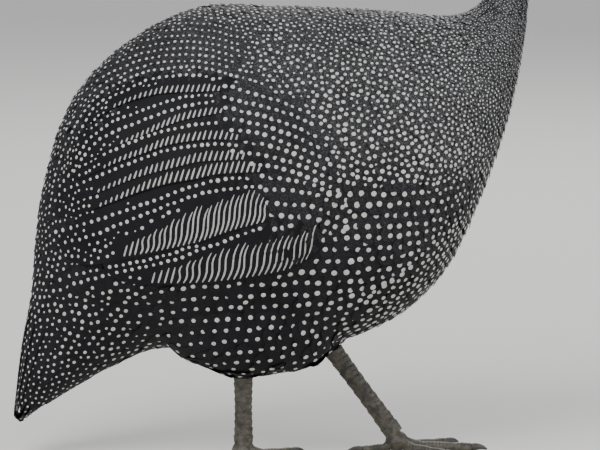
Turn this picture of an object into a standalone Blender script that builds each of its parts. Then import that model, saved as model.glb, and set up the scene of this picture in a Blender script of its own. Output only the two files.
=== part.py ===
"""Helmeted guinea fowl, life size, in mid-stride on its right leg, facing +X with its right side to -Y.

Lengths below are millimetres in the bird's own frame: x forward, y to its left, z up from the floor.
They become metres when a mesh is made. The origin is on the floor, under the middle of the bird's box.
"""

import math
import random

import bmesh
import bpy
from mathutils import Vector

MM = 0.001
GAP = 0.32  # left between two nodes that meet
SEED = 41

# Body stations from the tail's root to the top of the feathered neck.
# Each one: dorsal point (x, z), ventral point (x, z), half width.
BODY_STATIONS = (
    ((-211.5, 28), (-203, 30), 15),
    ((-206, 80), (-171, 51), 25),
    ((-197, 134), (-136, 70), 34),
    ((-190, 200), (-104, 84), 49),
    ((-169, 268), (-66, 81), 64),
    ((-129, 313), (-30, 80), 74),
    ((-73, 342), (8, 83), 80),
    ((-20, 343), (48, 94), 81),
    ((30, 341.5), (86, 114), 78),
    ((72, 339), (118, 149), 69),
    ((104, 335.5), (141, 200), 55),
    ((124, 336.5), (157, 245), 41),
    ((136, 343), (168, 290), 28),
    ((144, 352), (174, 330), 18.5),
    ((149.5, 372), (176.5, 370), 13.5),
)
TAIL_CUT = 2.0  # station where the tail meets the torso
NECK_CUT = 12.0  # station where the neck meets the torso
NAPE_CUT = 14.0  # station where the neck's feathers end
SECTION_SAG = 0.08  # how far the widest line of a section drops
RUMP_START = 0.2  # the first station that a side view is looked up on
TORSO_RINGS, TORSO_SEGMENTS = 25, 32
NECK_RINGS, NECK_SEGMENTS = 7, 24

# Wing, as seen from the side: shaft lines from root through a bend to the tip.
WING_TOP = ((-4, 268), (-70, 308), (-168, 236))
WING_BOTTOM = ((30, 178), (-56, 143), (-160, 138))
FLIGHT_SPREAD = (-0.10, 0.03, 0.15, 0.27, 0.39, 0.52, 0.67, 0.83, 1.0)
FLIGHT_WIDTH = 13.5  # half width of a flight vane
FLIGHT_LIFT = 3.4  # height of the flight tier over the body
COVERT_COUNT, COVERT_LENGTH, COVERT_END = 9, 0.34, 0.46
COVERT_WIDTH, COVERT_LIFT = 10.5, 6.6
COVERT_SLANT = 0.22  # how much sooner the lowest coverts end than the highest
WING_FRONT, WING_ROUND = -0.20, 0.95  # where the bed starts, and how fast its ends fall back
WING_BOW = 0.42  # the spread at which the bed reaches furthest forward
WING_BED = 0.55  # height of the wing's underside over the body
WING_CORE_DEPTH = 8.4
WING_CORE_GRID = (12, 11)
WING_CORE_SPREAD, WING_REAR, WING_EDGE = (-0.18, 1.08), 0.50, 0.8
RIM_RISE, NOSE_RISE = 4.2, 5.0  # how fast the bed thickens from its long edges and from its front
FALL_START, FALL_SHARE = 0.25, 0.93  # where the bed starts to thin towards the rear, and by how much
TILT = 2.4  # rise of a vane from its covered edge to its free edge
VANE_THICK = 0.62

# Tail: feathers laid round the body's last two stations, over a core that ends half way.
TAIL_PAIRS = 8
TAIL_TURNS = (6.0, 150.0)  # degrees from the ridge of the first and the last feather
TAIL_HALF_TURN = 17.0  # degrees on each side of a feather's shaft
TAIL_ROOT_PLACE = 1.86
TAIL_SINK = 3.6  # how deep the roots lie under the tail's surface
TAIL_CORE = ((1.0, 0.42), (1.25, 0.68), (1.5, 0.83), (1.75, 0.93), (2.0, 1.0))

# Head, about its own centre.
HEAD_CENTRE = (168, 433)
HEAD_STATIONS = (
    ((-20, 1), (-18.5, -6), 4),
    ((-17.5, 8), (-16, -13), 9.5),
    ((-10, 13.5), (-10, -16.5), 12.2),
    ((0, 15), (-2, -15.5), 13),
    ((9, 12.6), (6, -12.6), 11.8),
    ((15.5, 9), (13.5, -10), 9.4),
    ((20, 6.6), (19.5, -8), 7),
)
HEAD_RINGS, HEAD_SEGMENTS = 14, 24
EYE_PLACE, EYE_RADIUS = (4.5, 8.6, 4.2), 4.6
EYE_SEGMENTS, EYE_RINGS = 14, 9
LID_LONG, LID_HIGH, LID_THICK, LID_PLANE = 4.9, 4.0, 1.0, 12.0
LID_SEGMENTS, LID_ROUND = 16, 5
LID_SLANT = (0.055, 0.04)  # how fast the lid's plane falls back towards the bill and the crown
BILL_BASE = 20.0
GAPE_BACK, GAPE_HALF = (10.5, -4.6), 0.3
CULMEN = ((20.4, 6.4), (25, 6.2), (31, 4.4), (37, 0.8), (41.5, -4.2), (43.4, -8.2))
MOUTH_LINE = ((20.4, -2.4), (25, -2.2), (31, -2.4), (36, -3.8), (39.8, -6.4), (42.6, -8.8))
LOWER_MOUTH_LINE = ((20.4, -2.8), (25, -2.6), (31, -2.8), (35.6, -4.2), (38.4, -6.0))
JAW_LINE = ((20.4, -7.8), (25, -7.4), (30.5, -7.0), (35.0, -7.2), (38.2, -7.6))
BILL_WIDTHS = (6.7, 5.8, 4.4, 2.9, 1.5, 0.4)
JAW_WIDTHS = (6.3, 5.2, 3.8, 2.2, 0.7)
BILL_SEGMENTS = 16
NOSTRIL, NOSTRIL_RADII = (26.5, 6.0, 1.6), (2.4, 1.3, 0.95)
WATTLE_ROOT, WATTLE_LENGTH = (10.0, 8.4, -6.0), 21.0
WATTLE_RAKE, WATTLE_SPLAY = 0.30, 0.16  # its slant backwards and outwards down its length
WATTLE_WAVE, WATTLE_TURNS, WATTLE_CUP = 0.8, 7.0, 1.3
WATTLE_RINGS = (  # share of the length, half length along x, half thickness
    (0.0, 2.6, 1.0),
    (0.22, 4.0, 1.0),
    (0.45, 5.6, 1.1),
    (0.66, 6.3, 1.25),
    (0.84, 5.2, 1.2),
    (0.96, 2.8, 0.9),
    (1.0, 1.2, 0.5),
)
WATTLE_SEGMENTS = 14
CASQUE_RINGS = (  # height, centre, half length, half width
    (6, -1.0, 11.5, 6.2),
    (15, -1.5, 10.8, 5.2),
    (22, -3.6, 8.6, 4.0),
    (29, -6.4, 5.8, 3.0),
    (35, -9.2, 3.4, 2.1),
    (38.5, -11.2, 1.2, 1.0),
)
CASQUE_SEGMENTS, CASQUE_KEEL, CASQUE_LEAN = 18, 0.25, 0.10
NECK_TUBE = (  # centre (x, z), half depth, half width
    ((163.0, 371.9), 12.2, 11.6),
    ((164.0, 384.0), 11.0, 10.4),
    ((165.0, 399.0), 10.6, 9.8),
    ((164.5, 413.0), 11.4, 10.2),
    ((163.0, 426.0), 11.0, 9.4),
)
NECK_TUBE_SEGMENTS = 20

# Legs: hock and foot centres.
RIGHT_HIP, RIGHT_HOCK, RIGHT_FOOT = (-30, -34, 150), (-38, -22, 67), (-38, -10, 11)
LEFT_HIP, LEFT_HOCK, LEFT_FOOT = (-2, 38, 150), (29, 30, 78), (78, 30, 11)
RIGHT_THIGH = ((36, 20), (50, 27), (60, 30), (66, 31), (67, 29), (64, 25), (52, 19), (12, 8))
LEFT_THIGH = ((28, 20), (38, 26), (43, 28), (44, 28), (40, 25), (33, 20), (22, 13), (11, 8))
THIGH_SEGMENTS = 18
SHANK_DEPTH, SHANK_WIDTH = 7.0, 4.9  # half sizes of the bare shank
SHANK_SEGMENTS, SHANK_WAIST = 12, 0.12
SCUTES = 9
SCUTE_STEP, SCUTE_EDGE = 0.7, 0.04  # how far a scute stands out, and its share of bevel
FOOT_RADIUS, FOOT_HEIGHT = 8.8, 7.6
FOOT_SEGMENTS, FOOT_RINGS, FOOT_CLEAR = 14, 8, 0.1
TOES = (  # name, angle outwards from straight ahead, length, half width
    ("middle", 0.0, 57.0, 4.4),
    ("inner", 34.0, 44.0, 4.0),
    ("outer", -34.0, 46.0, 4.0),
    ("hind", 168.0, 27.0, 3.4),
)
TOE_RINGS, TOE_SEGMENTS = 8, 10
TOE_START, TOE_TAPER, TOE_ROUND = 4.0, 0.30, 0.86
TOE_PADS, PAD_SWELL = 2.5, 0.09
TOE_RISE, TOE_RISE_SHARE = 3.6, 0.30  # how far a toe climbs to the ball of the foot, and over what share
TOE_WEDGE, HIND_WEDGE = 17.0, 60.0  # half angle of the space that each toe keeps to
CLAW_LENGTH, CLAW_SHARE, CLAW_ARCH, CLAW_POINT = 11.0, 0.62, 0.9, 1.3
CLAW_RINGS, CLAW_SEGMENTS = 6, 8

PLUMAGE = (0.022, 0.021, 0.026)
NECK_PLUMAGE = (0.07, 0.07, 0.08)
BARE_SKIN = (0.26, 0.42, 0.52)
HORN = (0.36, 0.24, 0.14)
BILL_HORN = (0.50, 0.40, 0.30)
WATTLE_RED = (0.55, 0.06, 0.05)
SHANK_SKIN = (0.13, 0.12, 0.10)
CLAW_HORN = (0.09, 0.08, 0.07)
EYE_BROWN = (0.03, 0.018, 0.012)


def clear_scene():
    for obj in list(bpy.data.objects):
        bpy.data.objects.remove(obj)


def material(name, colour, roughness):
    """A Principled material, made once for each name."""
    made = bpy.data.materials.get(name)
    if made:
        return made
    made = bpy.data.materials.new(name)
    made.use_nodes = True
    shader = made.node_tree.nodes["Principled BSDF"]
    shader.inputs["Base Color"].default_value = (*colour, 1.0)
    shader.inputs["Roughness"].default_value = roughness
    return made


def lerp(a, b, share):
    return tuple(p + (q - p) * share for p, q in zip(a, b))


def bezier(points, share):
    """A point of the quadratic curve through a start, a bend and an end."""
    first = lerp(points[0], points[1], share)
    return lerp(first, lerp(points[1], points[2], share), share)


def smooth(values, place):
    """The value at a place along a row of tuples, on a Catmull-Rom curve through them."""
    last = len(values) - 1
    index = min(max(int(math.floor(place)), 0), last - 1)
    share = place - index
    before, start = values[max(index - 1, 0)], values[index]
    end, after = values[index + 1], values[min(index + 2, last)]
    found = []
    for a, b, c, d in zip(before, start, end, after):
        slope, turn = c - a, 2 * a - 5 * b + 4 * c - d
        found.append(0.5 * (2 * b + slope * share + turn * share**2 + (3 * b - a - 3 * c + d) * share**3))
    return tuple(found)


class Trunk:
    """A body whose flat sections run from a dorsal line to a ventral line."""

    def __init__(self, stations, centre=(0.0, 0.0), sag=0.0):
        x0, z0 = centre
        self.rows = [
            (top[0] + x0, top[1] + z0, low[0] + x0, low[1] + z0, half) for top, low, half in stations
        ]
        self.sag = sag

    def section(self, place):
        xd, zd, xv, zv, half = smooth(self.rows, place)
        centre = Vector(((xd + xv) / 2, 0.0, (zd + zv) / 2))
        rise = Vector(((xd - xv) / 2, 0.0, (zd - zv) / 2))
        return centre, rise, half

    def point(self, place, angle):
        """angle 0 is the dorsal line, pi/2 the left flank, pi the ventral line."""
        centre, rise, half = self.section(place)
        out = half * math.sin(angle) * (1 - self.sag * math.cos(angle))
        return centre + rise * math.cos(angle) + Vector((0.0, out, 0.0))

    def normal(self, place, angle):
        step = 0.01
        along = self.point(place + step, angle) - self.point(place - step, angle)
        around = self.point(place, angle + step) - self.point(place, angle - step)
        found = around.cross(along)
        outward = self.point(place, angle) - self.section(place)[0]
        if found.dot(outward) < 0:
            found.negate()
        return found.normalized()

    def ring(self, place, count, swell=0.0, shift=0.0):
        """Points round one section, moved out along the normals by swell, then across the cut by shift."""
        centre, rise, _ = self.section(place)
        across = Vector((rise.z, 0.0, -rise.x)).normalized()
        points = []
        for index in range(count):
            angle = 2 * math.pi * index / count
            point = self.point(place, angle)
            if swell:
                point = point + self.normal(place, angle) * swell
            points.append(point + across * shift)
        return points

    def place_of(self, x, z):
        """The section and angle whose side view falls on (x, z), on the left flank."""
        low, high = RUMP_START, NAPE_CUT

        def side(place):
            centre, rise, _ = self.section(place)
            return rise.x * (z - centre.z) - rise.z * (x - centre.x)

        low_sign = side(low) > 0
        for _ in range(34):
            middle = (low + high) / 2
            if (side(middle) > 0) == low_sign:
                low = middle
            else:
                high = middle
        centre, rise, _ = self.section(low)
        share = ((x - centre.x) * rise.x + (z - centre.z) * rise.z) / rise.length_squared
        return low, math.acos(min(max(share, -0.985), 0.985))

    def flank(self, x, z, side, lift):
        """The point that lies lift above the flank's skin where the side view shows (x, z)."""
        place, angle = self.place_of(x, z)
        point = self.point(place, angle) + self.normal(place, angle) * lift
        return Vector((point.x, point.y * side, point.z))


BODY = Trunk(BODY_STATIONS, sag=SECTION_SAG)
HEAD = Trunk(HEAD_STATIONS, HEAD_CENTRE)


def make_object(name, points, faces, finish, smooth_angle=40):
    """A closed mesh object in metres from points in millimetres, with its normals outward."""
    mesh = bpy.data.meshes.new(name)
    mesh.from_pydata([Vector(point) * MM for point in points], [], faces)
    made = bmesh.new()
    made.from_mesh(mesh)
    bmesh.ops.recalc_face_normals(made, faces=made.faces)
    made.to_mesh(mesh)
    made.free()
    mesh.shade_smooth()
    mesh.set_sharp_from_angle(angle=math.radians(smooth_angle))
    mesh.materials.append(finish)
    obj = bpy.data.objects.new(name, mesh)
    bpy.context.scene.collection.objects.link(obj)
    return obj


def loft(name, rings, finish, smooth_angle=40):
    """A closed skin over rings of equal counts, its two ends flat."""
    count = len(rings[0])
    points = [point for ring in rings for point in ring]
    faces = [tuple(range(count)), tuple(reversed(range(len(points) - count, len(points))))]
    for row in range(len(rings) - 1):
        for index in range(count):
            a, b = row * count + index, row * count + (index + 1) % count
            faces.append((a, b, b + count))
            faces.append((a, b + count, a + count))
    return make_object(name, points, faces, finish, smooth_angle)


def tube_rings(centres, halves, count, side_axis=Vector((0, 1, 0)), floor=None, end_way=None):
    """Rings square to the path through the centres; halves holds each ring's (depth, width).

    floor is a height that no point passes, and end_way what the last ring is square to instead.
    """
    rings = []
    for index, centre in enumerate(centres):
        ahead = centres[min(index + 1, len(centres) - 1)] - centres[max(index - 1, 0)]
        if end_way and index == len(centres) - 1:
            ahead = end_way.copy()
        ahead.normalize()
        wide = (side_axis - ahead * side_axis.dot(ahead)).normalized()
        deep = ahead.cross(wide)
        ring = []
        for step in range(count):
            angle = 2 * math.pi * step / count
            depth, width = halves[index]
            point = centre + deep * (depth * math.cos(angle)) + wide * (width * math.sin(angle))
            if floor is not None:
                point.z = max(point.z, floor)
            ring.append(point)
        rings.append(ring)
    return rings


def ball(name, centre, radii, finish, segments=16, rings=10):
    """An ellipsoid with its poles up and down."""
    made = bmesh.new()
    bmesh.ops.create_uvsphere(made, u_segments=segments, v_segments=rings, radius=1.0)
    points = [
        tuple(c + r * v for c, r, v in zip(centre, radii, vertex.co)) for vertex in made.verts
    ]
    faces = [tuple(vertex.index for vertex in face.verts) for face in made.faces]
    made.free()
    return make_object(name, points, faces, finish)


def keep_largest(obj):
    """Drops every loose surface of the mesh but the one that holds the most volume."""
    made = bmesh.new()
    made.from_mesh(obj.data)
    bmesh.ops.triangulate(made, faces=made.faces)
    left = set(made.faces)
    shells = []
    while left:
        stack = [left.pop()]
        shell = set(stack)
        while stack:
            for edge in stack.pop().edges:
                for face in edge.link_faces:
                    if face in left:
                        left.remove(face)
                        shell.add(face)
                        stack.append(face)
        shells.append(shell)

    def volume(shell):
        corners = [[loop.vert.co for loop in face.loops] for face in shell]
        return abs(sum(a.dot(b.cross(c)) for a, b, c in corners))

    shells.sort(key=volume)
    waste = [face for shell in shells[:-1] for face in shell]
    bmesh.ops.delete(made, geom=waste, context="FACES")
    made.to_mesh(obj.data)
    made.free()


def combine(obj, pieces, operation, solver="EXACT"):
    """One Boolean of all the pieces with the object, applied, after which the pieces are gone."""
    group = bpy.data.collections.new(obj.name + "_pieces")
    bpy.context.scene.collection.children.link(group)
    for piece in pieces:
        bpy.context.scene.collection.objects.unlink(piece)
        group.objects.link(piece)
    joined = obj.modifiers.new(operation.title(), "BOOLEAN")
    joined.operation = operation
    joined.solver = solver
    joined.operand_type = "COLLECTION"
    joined.collection = group
    bpy.context.view_layer.update()
    graph = bpy.context.evaluated_depsgraph_get()
    result = bpy.data.meshes.new_from_object(obj.evaluated_get(graph))
    obj.modifiers.clear()
    obj.data = result
    for piece in pieces:
        bpy.data.objects.remove(piece)
    bpy.data.collections.remove(group)
    keep_largest(obj)
    return obj


def trunk_node(name, trunk, start, end, rings, segments, finish, shifts):
    """A stretch of a trunk; its end sections are moved inward by the shifts."""
    places = [start + (end - start) * index / (rings - 1) for index in range(rings)]
    made = [trunk.ring(place, segments) for place in places]
    made[0] = trunk.ring(start, segments, shift=shifts[0])
    made[-1] = trunk.ring(end, segments, shift=shifts[1])
    return loft(name, made, finish)


def swollen(name, trunk, start, end, rings, segments, finish):
    """The same stretch grown by the gap, to cut what meets its flank."""
    places = [start + (end - start) * index / (rings - 1) for index in range(rings)]
    return loft(name, [trunk.ring(place, segments, swell=GAP) for place in places], finish)


def vane(name, place, half_width, finish, profile):
    """A thin feather vane. place(along, across) gives its point and its normal.

    profile holds (share of the length, share of the half width, share of the thickness).
    """
    points = []
    for along, width, thick in profile:
        sides = [place(along, share * half_width * width) for share in (-1.0, 1.0)]
        half = VANE_THICK / 2 * thick
        points += [point + normal * half for point, normal in sides]
        points += [point - normal * half for point, normal in sides]
    faces = []
    for base in range(0, len(points) - 4, 4):
        for a, b in ((base, base + 1), (base + 2, base + 3), (base, base + 2), (base + 1, base + 3)):
            faces += [(a, b, b + 4), (a, b + 4, a + 4)]
    last = len(points) - 4
    faces += [(0, 1, 3, 2), (last, last + 1, last + 3, last + 2)]
    return make_object(name, points, faces, finish)


FLIGHT_PROFILE = (
    (0.0, 0.55, 1.0),
    (0.30, 0.92, 1.0),
    (0.58, 1.0, 1.0),
    (0.82, 0.92, 0.95),
    (0.95, 0.62, 0.8),
    (1.0, 0.22, 0.6),
)
COVERT_PROFILE = (
    (0.0, 0.6, 1.0),
    (0.45, 1.0, 1.0),
    (0.80, 0.95, 0.9),
    (0.94, 0.62, 0.8),
    (1.0, 0.22, 0.6),
)


def wing_line(spread):
    """Root, bend and tip of a shaft line; spread 0 is the top of the fold and 1 its lower edge."""
    return tuple(lerp(top, low, spread) for top, low in zip(WING_TOP, WING_BOTTOM))


def wing_vane(name, side, spread, stretch, shape, finish, draw):
    """A vane along a stretch of its shaft line, its lower edge free and its upper edge covered."""
    line = wing_line(spread)
    start, end = stretch
    half_width, lift, profile = shape
    end += draw.uniform(-0.02, 0.02)
    half_width *= draw.uniform(0.96, 1.04)

    def place(along, across):
        share = start + (end - start) * along
        here, ahead = Vector(bezier(line, share)), Vector(bezier(line, share + 0.01))
        way = (ahead - here).normalized()
        down = Vector((way.y, -way.x))
        if down.y > 0:
            down.negate()
        spot = here + down * across
        height = lift + TILT * across / (2 * half_width)
        point = BODY.flank(spot.x, spot.y, side, height)
        normal = point - BODY.flank(spot.x, spot.y, side, height - 1.0)
        return point, normal.normalized()

    return vane(name, place, half_width, finish, profile)


def wing_front(spread):
    """The share of a shaft line at which the wing's rounded bend begins."""
    return WING_FRONT + WING_ROUND * (spread - WING_BOW) ** 2


def wing_core(name, side, finish):
    """The wing's bed on the flank: thick at the bend and thin where the flight feathers leave it."""
    rows, columns = WING_CORE_GRID
    first, last = WING_CORE_SPREAD
    upper, lower = [], []
    for row in range(rows):
        along = row / (rows - 1)
        for column in range(columns):
            spread = first + (last - first) * column / (columns - 1)
            front = wing_front(spread)
            share = front + (WING_REAR - front) * along
            spot = bezier(wing_line(spread), share)
            edge = min(column, columns - 1 - column) / (columns - 1)
            rim = min(1.0, edge * RIM_RISE) ** 0.5
            nose = min(1.0, along * NOSE_RISE) ** 0.5
            fall = 1 - FALL_SHARE * max(0.0, along - FALL_START) / (1 - FALL_START)
            depth = WING_EDGE + (WING_CORE_DEPTH - WING_EDGE) * rim * nose * fall
            upper.append(BODY.flank(spot[0], spot[1], side, WING_BED + depth))
            lower.append(BODY.flank(spot[0], spot[1], side, WING_BED))
    points = upper + lower
    under = len(upper)
    faces = []
    for row in range(rows - 1):
        for column in range(columns - 1):
            a = row * columns + column
            for base in (a, a + under):
                faces += [
                    (base, base + 1, base + 1 + columns),
                    (base, base + 1 + columns, base + columns),
                ]
    rim = list(range(columns))
    rim += [row * columns + columns - 1 for row in range(1, rows)]
    rim += [(rows - 1) * columns + column for column in range(columns - 2, -1, -1)]
    rim += [row * columns for row in range(rows - 2, 0, -1)]
    for a, b in zip(rim, rim[1:] + rim[:1]):
        faces += [(a, b, b + under), (a, b + under, a + under)]
    return make_object(name, points, faces, finish)


def wing(name, side, finish):
    draw = random.Random(SEED)
    core = wing_core(name, side, finish)
    vanes = []
    for index, spread in enumerate(FLIGHT_SPREAD):
        stretch = (max(0.12, wing_front(spread) + 0.08), 1.0)
        shape = (FLIGHT_WIDTH, FLIGHT_LIFT, FLIGHT_PROFILE)
        vanes.append(wing_vane(f"{name}_flight_{index}", side, spread, stretch, shape, finish, draw))
    for index in range(COVERT_COUNT):
        spread = 0.02 + 0.94 * index / (COVERT_COUNT - 1)
        stop = COVERT_END - COVERT_SLANT * spread
        stretch = (max(stop - COVERT_LENGTH, wing_front(spread) + 0.09), stop)
        shape = (COVERT_WIDTH, COVERT_LIFT, COVERT_PROFILE)
        vanes.append(wing_vane(f"{name}_covert_{index}", side, spread, stretch, shape, finish, draw))
    return combine(core, vanes, "UNION")


def tail_vane(name, turn, end, finish, draw):
    """A tail feather along the body's last stations; turn is its angle from the ridge, left positive."""
    side = 1 if turn > 0 else -1
    end += draw.uniform(-0.03, 0.03)
    half_turn = math.radians(TAIL_HALF_TURN) * draw.uniform(0.96, 1.04)

    def place(along, across):
        station = TAIL_ROOT_PLACE + (end - TAIL_ROOT_PLACE) * along
        angle = abs(turn) + across
        point, normal = BODY.point(station, angle), BODY.normal(station, angle)
        height = TILT * across / (2 * half_turn) - TAIL_SINK * max(0.0, 1 - along / 0.35) ** 2
        found = point + normal * (height - TILT / 2)
        return Vector((found.x, found.y * side, found.z)), Vector((normal.x, normal.y * side, normal.z))

    return vane(name, place, half_turn, finish, FLIGHT_PROFILE)


def tail(name, finish):
    draw = random.Random(SEED + 1)
    rings = []
    for station, scale in TAIL_CORE:
        centre = BODY.section(station)[0]
        rings.append([centre + (point - centre) * scale for point in BODY.ring(station, NECK_SEGMENTS)])
    rings[-1] = BODY.ring(TAIL_CUT, NECK_SEGMENTS, shift=-GAP / 2)
    core = loft(name, rings, finish)
    vanes = []
    first, last = TAIL_TURNS
    for pair in range(TAIL_PAIRS):
        share = pair / (TAIL_PAIRS - 1)
        for side in (1, -1):
            turn = side * math.radians(first + (last - first) * share)
            vanes.append(tail_vane(f"{name}_quill_{pair}_{side}", turn, 0.9 * share**1.2, finish, draw))
    return combine(core, vanes, "UNION")


def thigh(name, hip, hock, foot, widths, finish):
    """The feathered thigh, from inside the flank down to a flat end on the shank's own."""
    steps = len(widths)
    centres = [Vector(lerp(hip, hock, index / (steps - 1))) for index in range(steps)]
    rings = tube_rings(centres, widths, THIGH_SEGMENTS, end_way=Vector(foot) - Vector(hock))
    made = loft(name, rings, finish)
    cutter = swollen(name + "_flank", BODY, TAIL_CUT, NECK_CUT, TORSO_RINGS, TORSO_SEGMENTS, finish)
    return combine(made, [cutter], "DIFFERENCE")


def foot_ball(name, foot, swell, finish):
    """The ball of the foot, whose underside lies just over the floor; swell grows it into a cutter."""
    centre = (foot[0], foot[1], FOOT_HEIGHT + FOOT_CLEAR)
    radii = (FOOT_RADIUS + swell, FOOT_RADIUS + swell, FOOT_HEIGHT + swell)
    return ball(name, centre, radii, finish, FOOT_SEGMENTS, FOOT_RINGS)


def shank(name, hock, foot, finish):
    """The bare shank with its rows of scutes, down to the ball of the foot."""
    top, low = Vector(hock), Vector(foot)
    way = (low - top).normalized()
    length = (low - top).length
    start = top + way * (GAP + 0.2)
    centres, halves = [], []
    bare = length - 3.0
    for index in range(SCUTES):
        for share, step in ((SCUTE_EDGE, SCUTE_STEP), (1 - SCUTE_EDGE, 0.0)):
            along = (index + share) / SCUTES * bare
            slim = 1.0 - SHANK_WAIST * math.sin(math.pi * along / bare)
            centres.append(start + way * along)
            halves.append((SHANK_DEPTH * slim + step, SHANK_WIDTH * slim + step * 0.5))
    made = loft(name, tube_rings(centres, halves, SHANK_SEGMENTS), finish, smooth_angle=30)
    return combine(made, [foot_ball(name + "_ball", foot, 0.0, finish)], "UNION")


def toe(name, foot, angle, length, half, wedge, finish, claw_finish):
    """A toe flat on the floor with its pads, and its claw, both clear of the next toes by the wedge."""
    turn = math.radians(angle)
    way = Vector((math.cos(turn), math.sin(turn), 0))
    side = Vector((-way.y, way.x, 0))
    middle = Vector((foot[0], foot[1], 0))
    centres, halves = [], []
    for index in range(TOE_RINGS):
        share = index / (TOE_RINGS - 1)
        reach = TOE_START + (length - TOE_START) * share
        taper = 1.0 - TOE_TAPER * share
        pad = 1.0 + PAD_SWELL * math.sin(share * math.tau * TOE_PADS)
        height = half * taper * TOE_ROUND + TOE_RISE * max(0.0, 1 - share / TOE_RISE_SHARE) ** 2
        centres.append(middle + way * reach + Vector((0, 0, height)))
        halves.append((half * taper * pad, half * taper * pad))
    rings = tube_rings(centres, halves, TOE_SEGMENTS, side_axis=side, floor=0.0)
    for ring in rings:
        for point in ring:
            offset = point - middle
            ahead, aside = offset.dot(way), offset.dot(side)
            limit = ahead * math.tan(math.radians(wedge)) - GAP
            if abs(aside) > limit:
                point -= side * (aside - math.copysign(max(limit, 0.2), aside))
    made = loft(name, rings, finish)
    combine(made, [foot_ball(name + "_cut", foot, GAP, finish)], "DIFFERENCE")
    claw(name.replace("toe", "claw"), centres[-1], way, side, half * CLAW_SHARE, claw_finish)


def claw(name, start, way, side, half, finish):
    """A curved, tapering claw whose point comes down near the floor."""
    centres, halves = [], []
    for index in range(CLAW_RINGS):
        share = index / (CLAW_RINGS - 1)
        lift = CLAW_ARCH * math.sin(math.pi * share) - (start.z - CLAW_POINT) * share**2
        centres.append(start + way * (GAP + CLAW_LENGTH * share) + Vector((0, 0, lift)))
        size = half * (1 - share) ** 0.8 + 0.35
        halves.append((size, size * 0.8))
    rings = tube_rings(centres, halves, CLAW_SEGMENTS, side_axis=side, floor=0.0)
    for point in rings[0]:
        point += way * (GAP - (point - start).dot(way))
    return loft(name, rings, finish)


def leg(label, side, hip, hock, foot, widths):
    feathers = material("plumage", PLUMAGE, 0.62)
    skin = material("shank_skin", SHANK_SKIN, 0.55)
    horn = material("claw_horn", CLAW_HORN, 0.4)
    thigh(f"thigh_{label}", hip, hock, foot, widths, feathers)
    shank(f"tarsus_{label}", hock, foot, skin)
    for toe_name, angle, length, half in TOES:
        wedge = HIND_WEDGE if toe_name == "hind" else TOE_WEDGE
        toe(f"toe_{toe_name}_{label}", foot, -angle * side, length, half, wedge, skin, horn)


def head_point(place):
    """A point of the head's own frame in the bird's."""
    return Vector((place[0] + HEAD_CENTRE[0], place[1], place[2] + HEAD_CENTRE[1]))


def head_cutter(name, finish):
    return swollen(name, HEAD, 0.0, len(HEAD_STATIONS) - 1.0, HEAD_RINGS, HEAD_SEGMENTS, finish)


def head(name, skin):
    """The bare head with its sockets, lids and the corner of the mouth."""
    last = len(HEAD_STATIONS) - 1.0
    made = trunk_node(name, HEAD, 0.0, last, HEAD_RINGS, HEAD_SEGMENTS, skin, (0.0, 0.0))
    lids = [lid(f"{name}_lid_{side}", side, skin) for side in (-1, 1)]
    combine(made, lids, "UNION")
    cuts = []
    for side in (-1, 1):
        x, y, z = EYE_PLACE
        socket = EYE_RADIUS + GAP
        centre = head_point((x, side * y, z))
        cuts.append(ball(f"{name}_socket_{side}", centre, (socket,) * 3, skin))
        cuts.append(gape(f"{name}_gape_{side}", side, skin))
    return combine(made, cuts, "DIFFERENCE")


def lid(name, side, finish):
    """The swollen rim round one eye, a little longer than it is high."""
    x, y, z = EYE_PLACE
    points, faces = [], []
    for index in range(LID_SEGMENTS):
        turn = 2 * math.pi * index / LID_SEGMENTS
        reach = Vector((math.cos(turn) * LID_LONG, 0, math.sin(turn) * LID_HIGH))
        out = reach.normalized()
        for step in range(LID_ROUND):
            roll = 2 * math.pi * step / LID_ROUND
            bulge = out * math.cos(roll) * LID_THICK + Vector((0, side * math.sin(roll) * LID_THICK, 0))
            slant = side * (LID_PLANE - LID_SLANT[0] * reach.x - LID_SLANT[1] * reach.z)
            points.append(head_point((x, slant, z)) + reach + bulge)
            a, b = index * LID_ROUND + step, index * LID_ROUND + (step + 1) % LID_ROUND
            ahead = LID_ROUND if index < LID_SEGMENTS - 1 else -(LID_SEGMENTS - 1) * LID_ROUND
            faces.append((a, b, b + ahead, a + ahead))
    return make_object(name, points, faces, finish)


def gape(name, side, finish):
    """A thin blade that cuts the mouth's corner back from the bill."""
    (x0, z0), (x1, z1) = GAPE_BACK, (BILL_BASE + 2.0, MOUTH_LINE[0][1])
    points = []
    for y in (side * 3.0, side * 16.0):
        points += [
            head_point((x0, y, z0)),
            head_point((x1, y, z1 - GAPE_HALF)),
            head_point((x1, y, z1 + GAPE_HALF)),
        ]
    faces = [(0, 1, 2), (3, 5, 4), (0, 3, 4, 1), (1, 4, 5, 2), (2, 5, 3, 0)]
    return make_object(name, points, faces, finish)


def eye(name, side, finish):
    x, y, z = EYE_PLACE
    return ball(name, head_point((x, side * y, z)), (EYE_RADIUS,) * 3, finish, EYE_SEGMENTS, EYE_RINGS)


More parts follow.
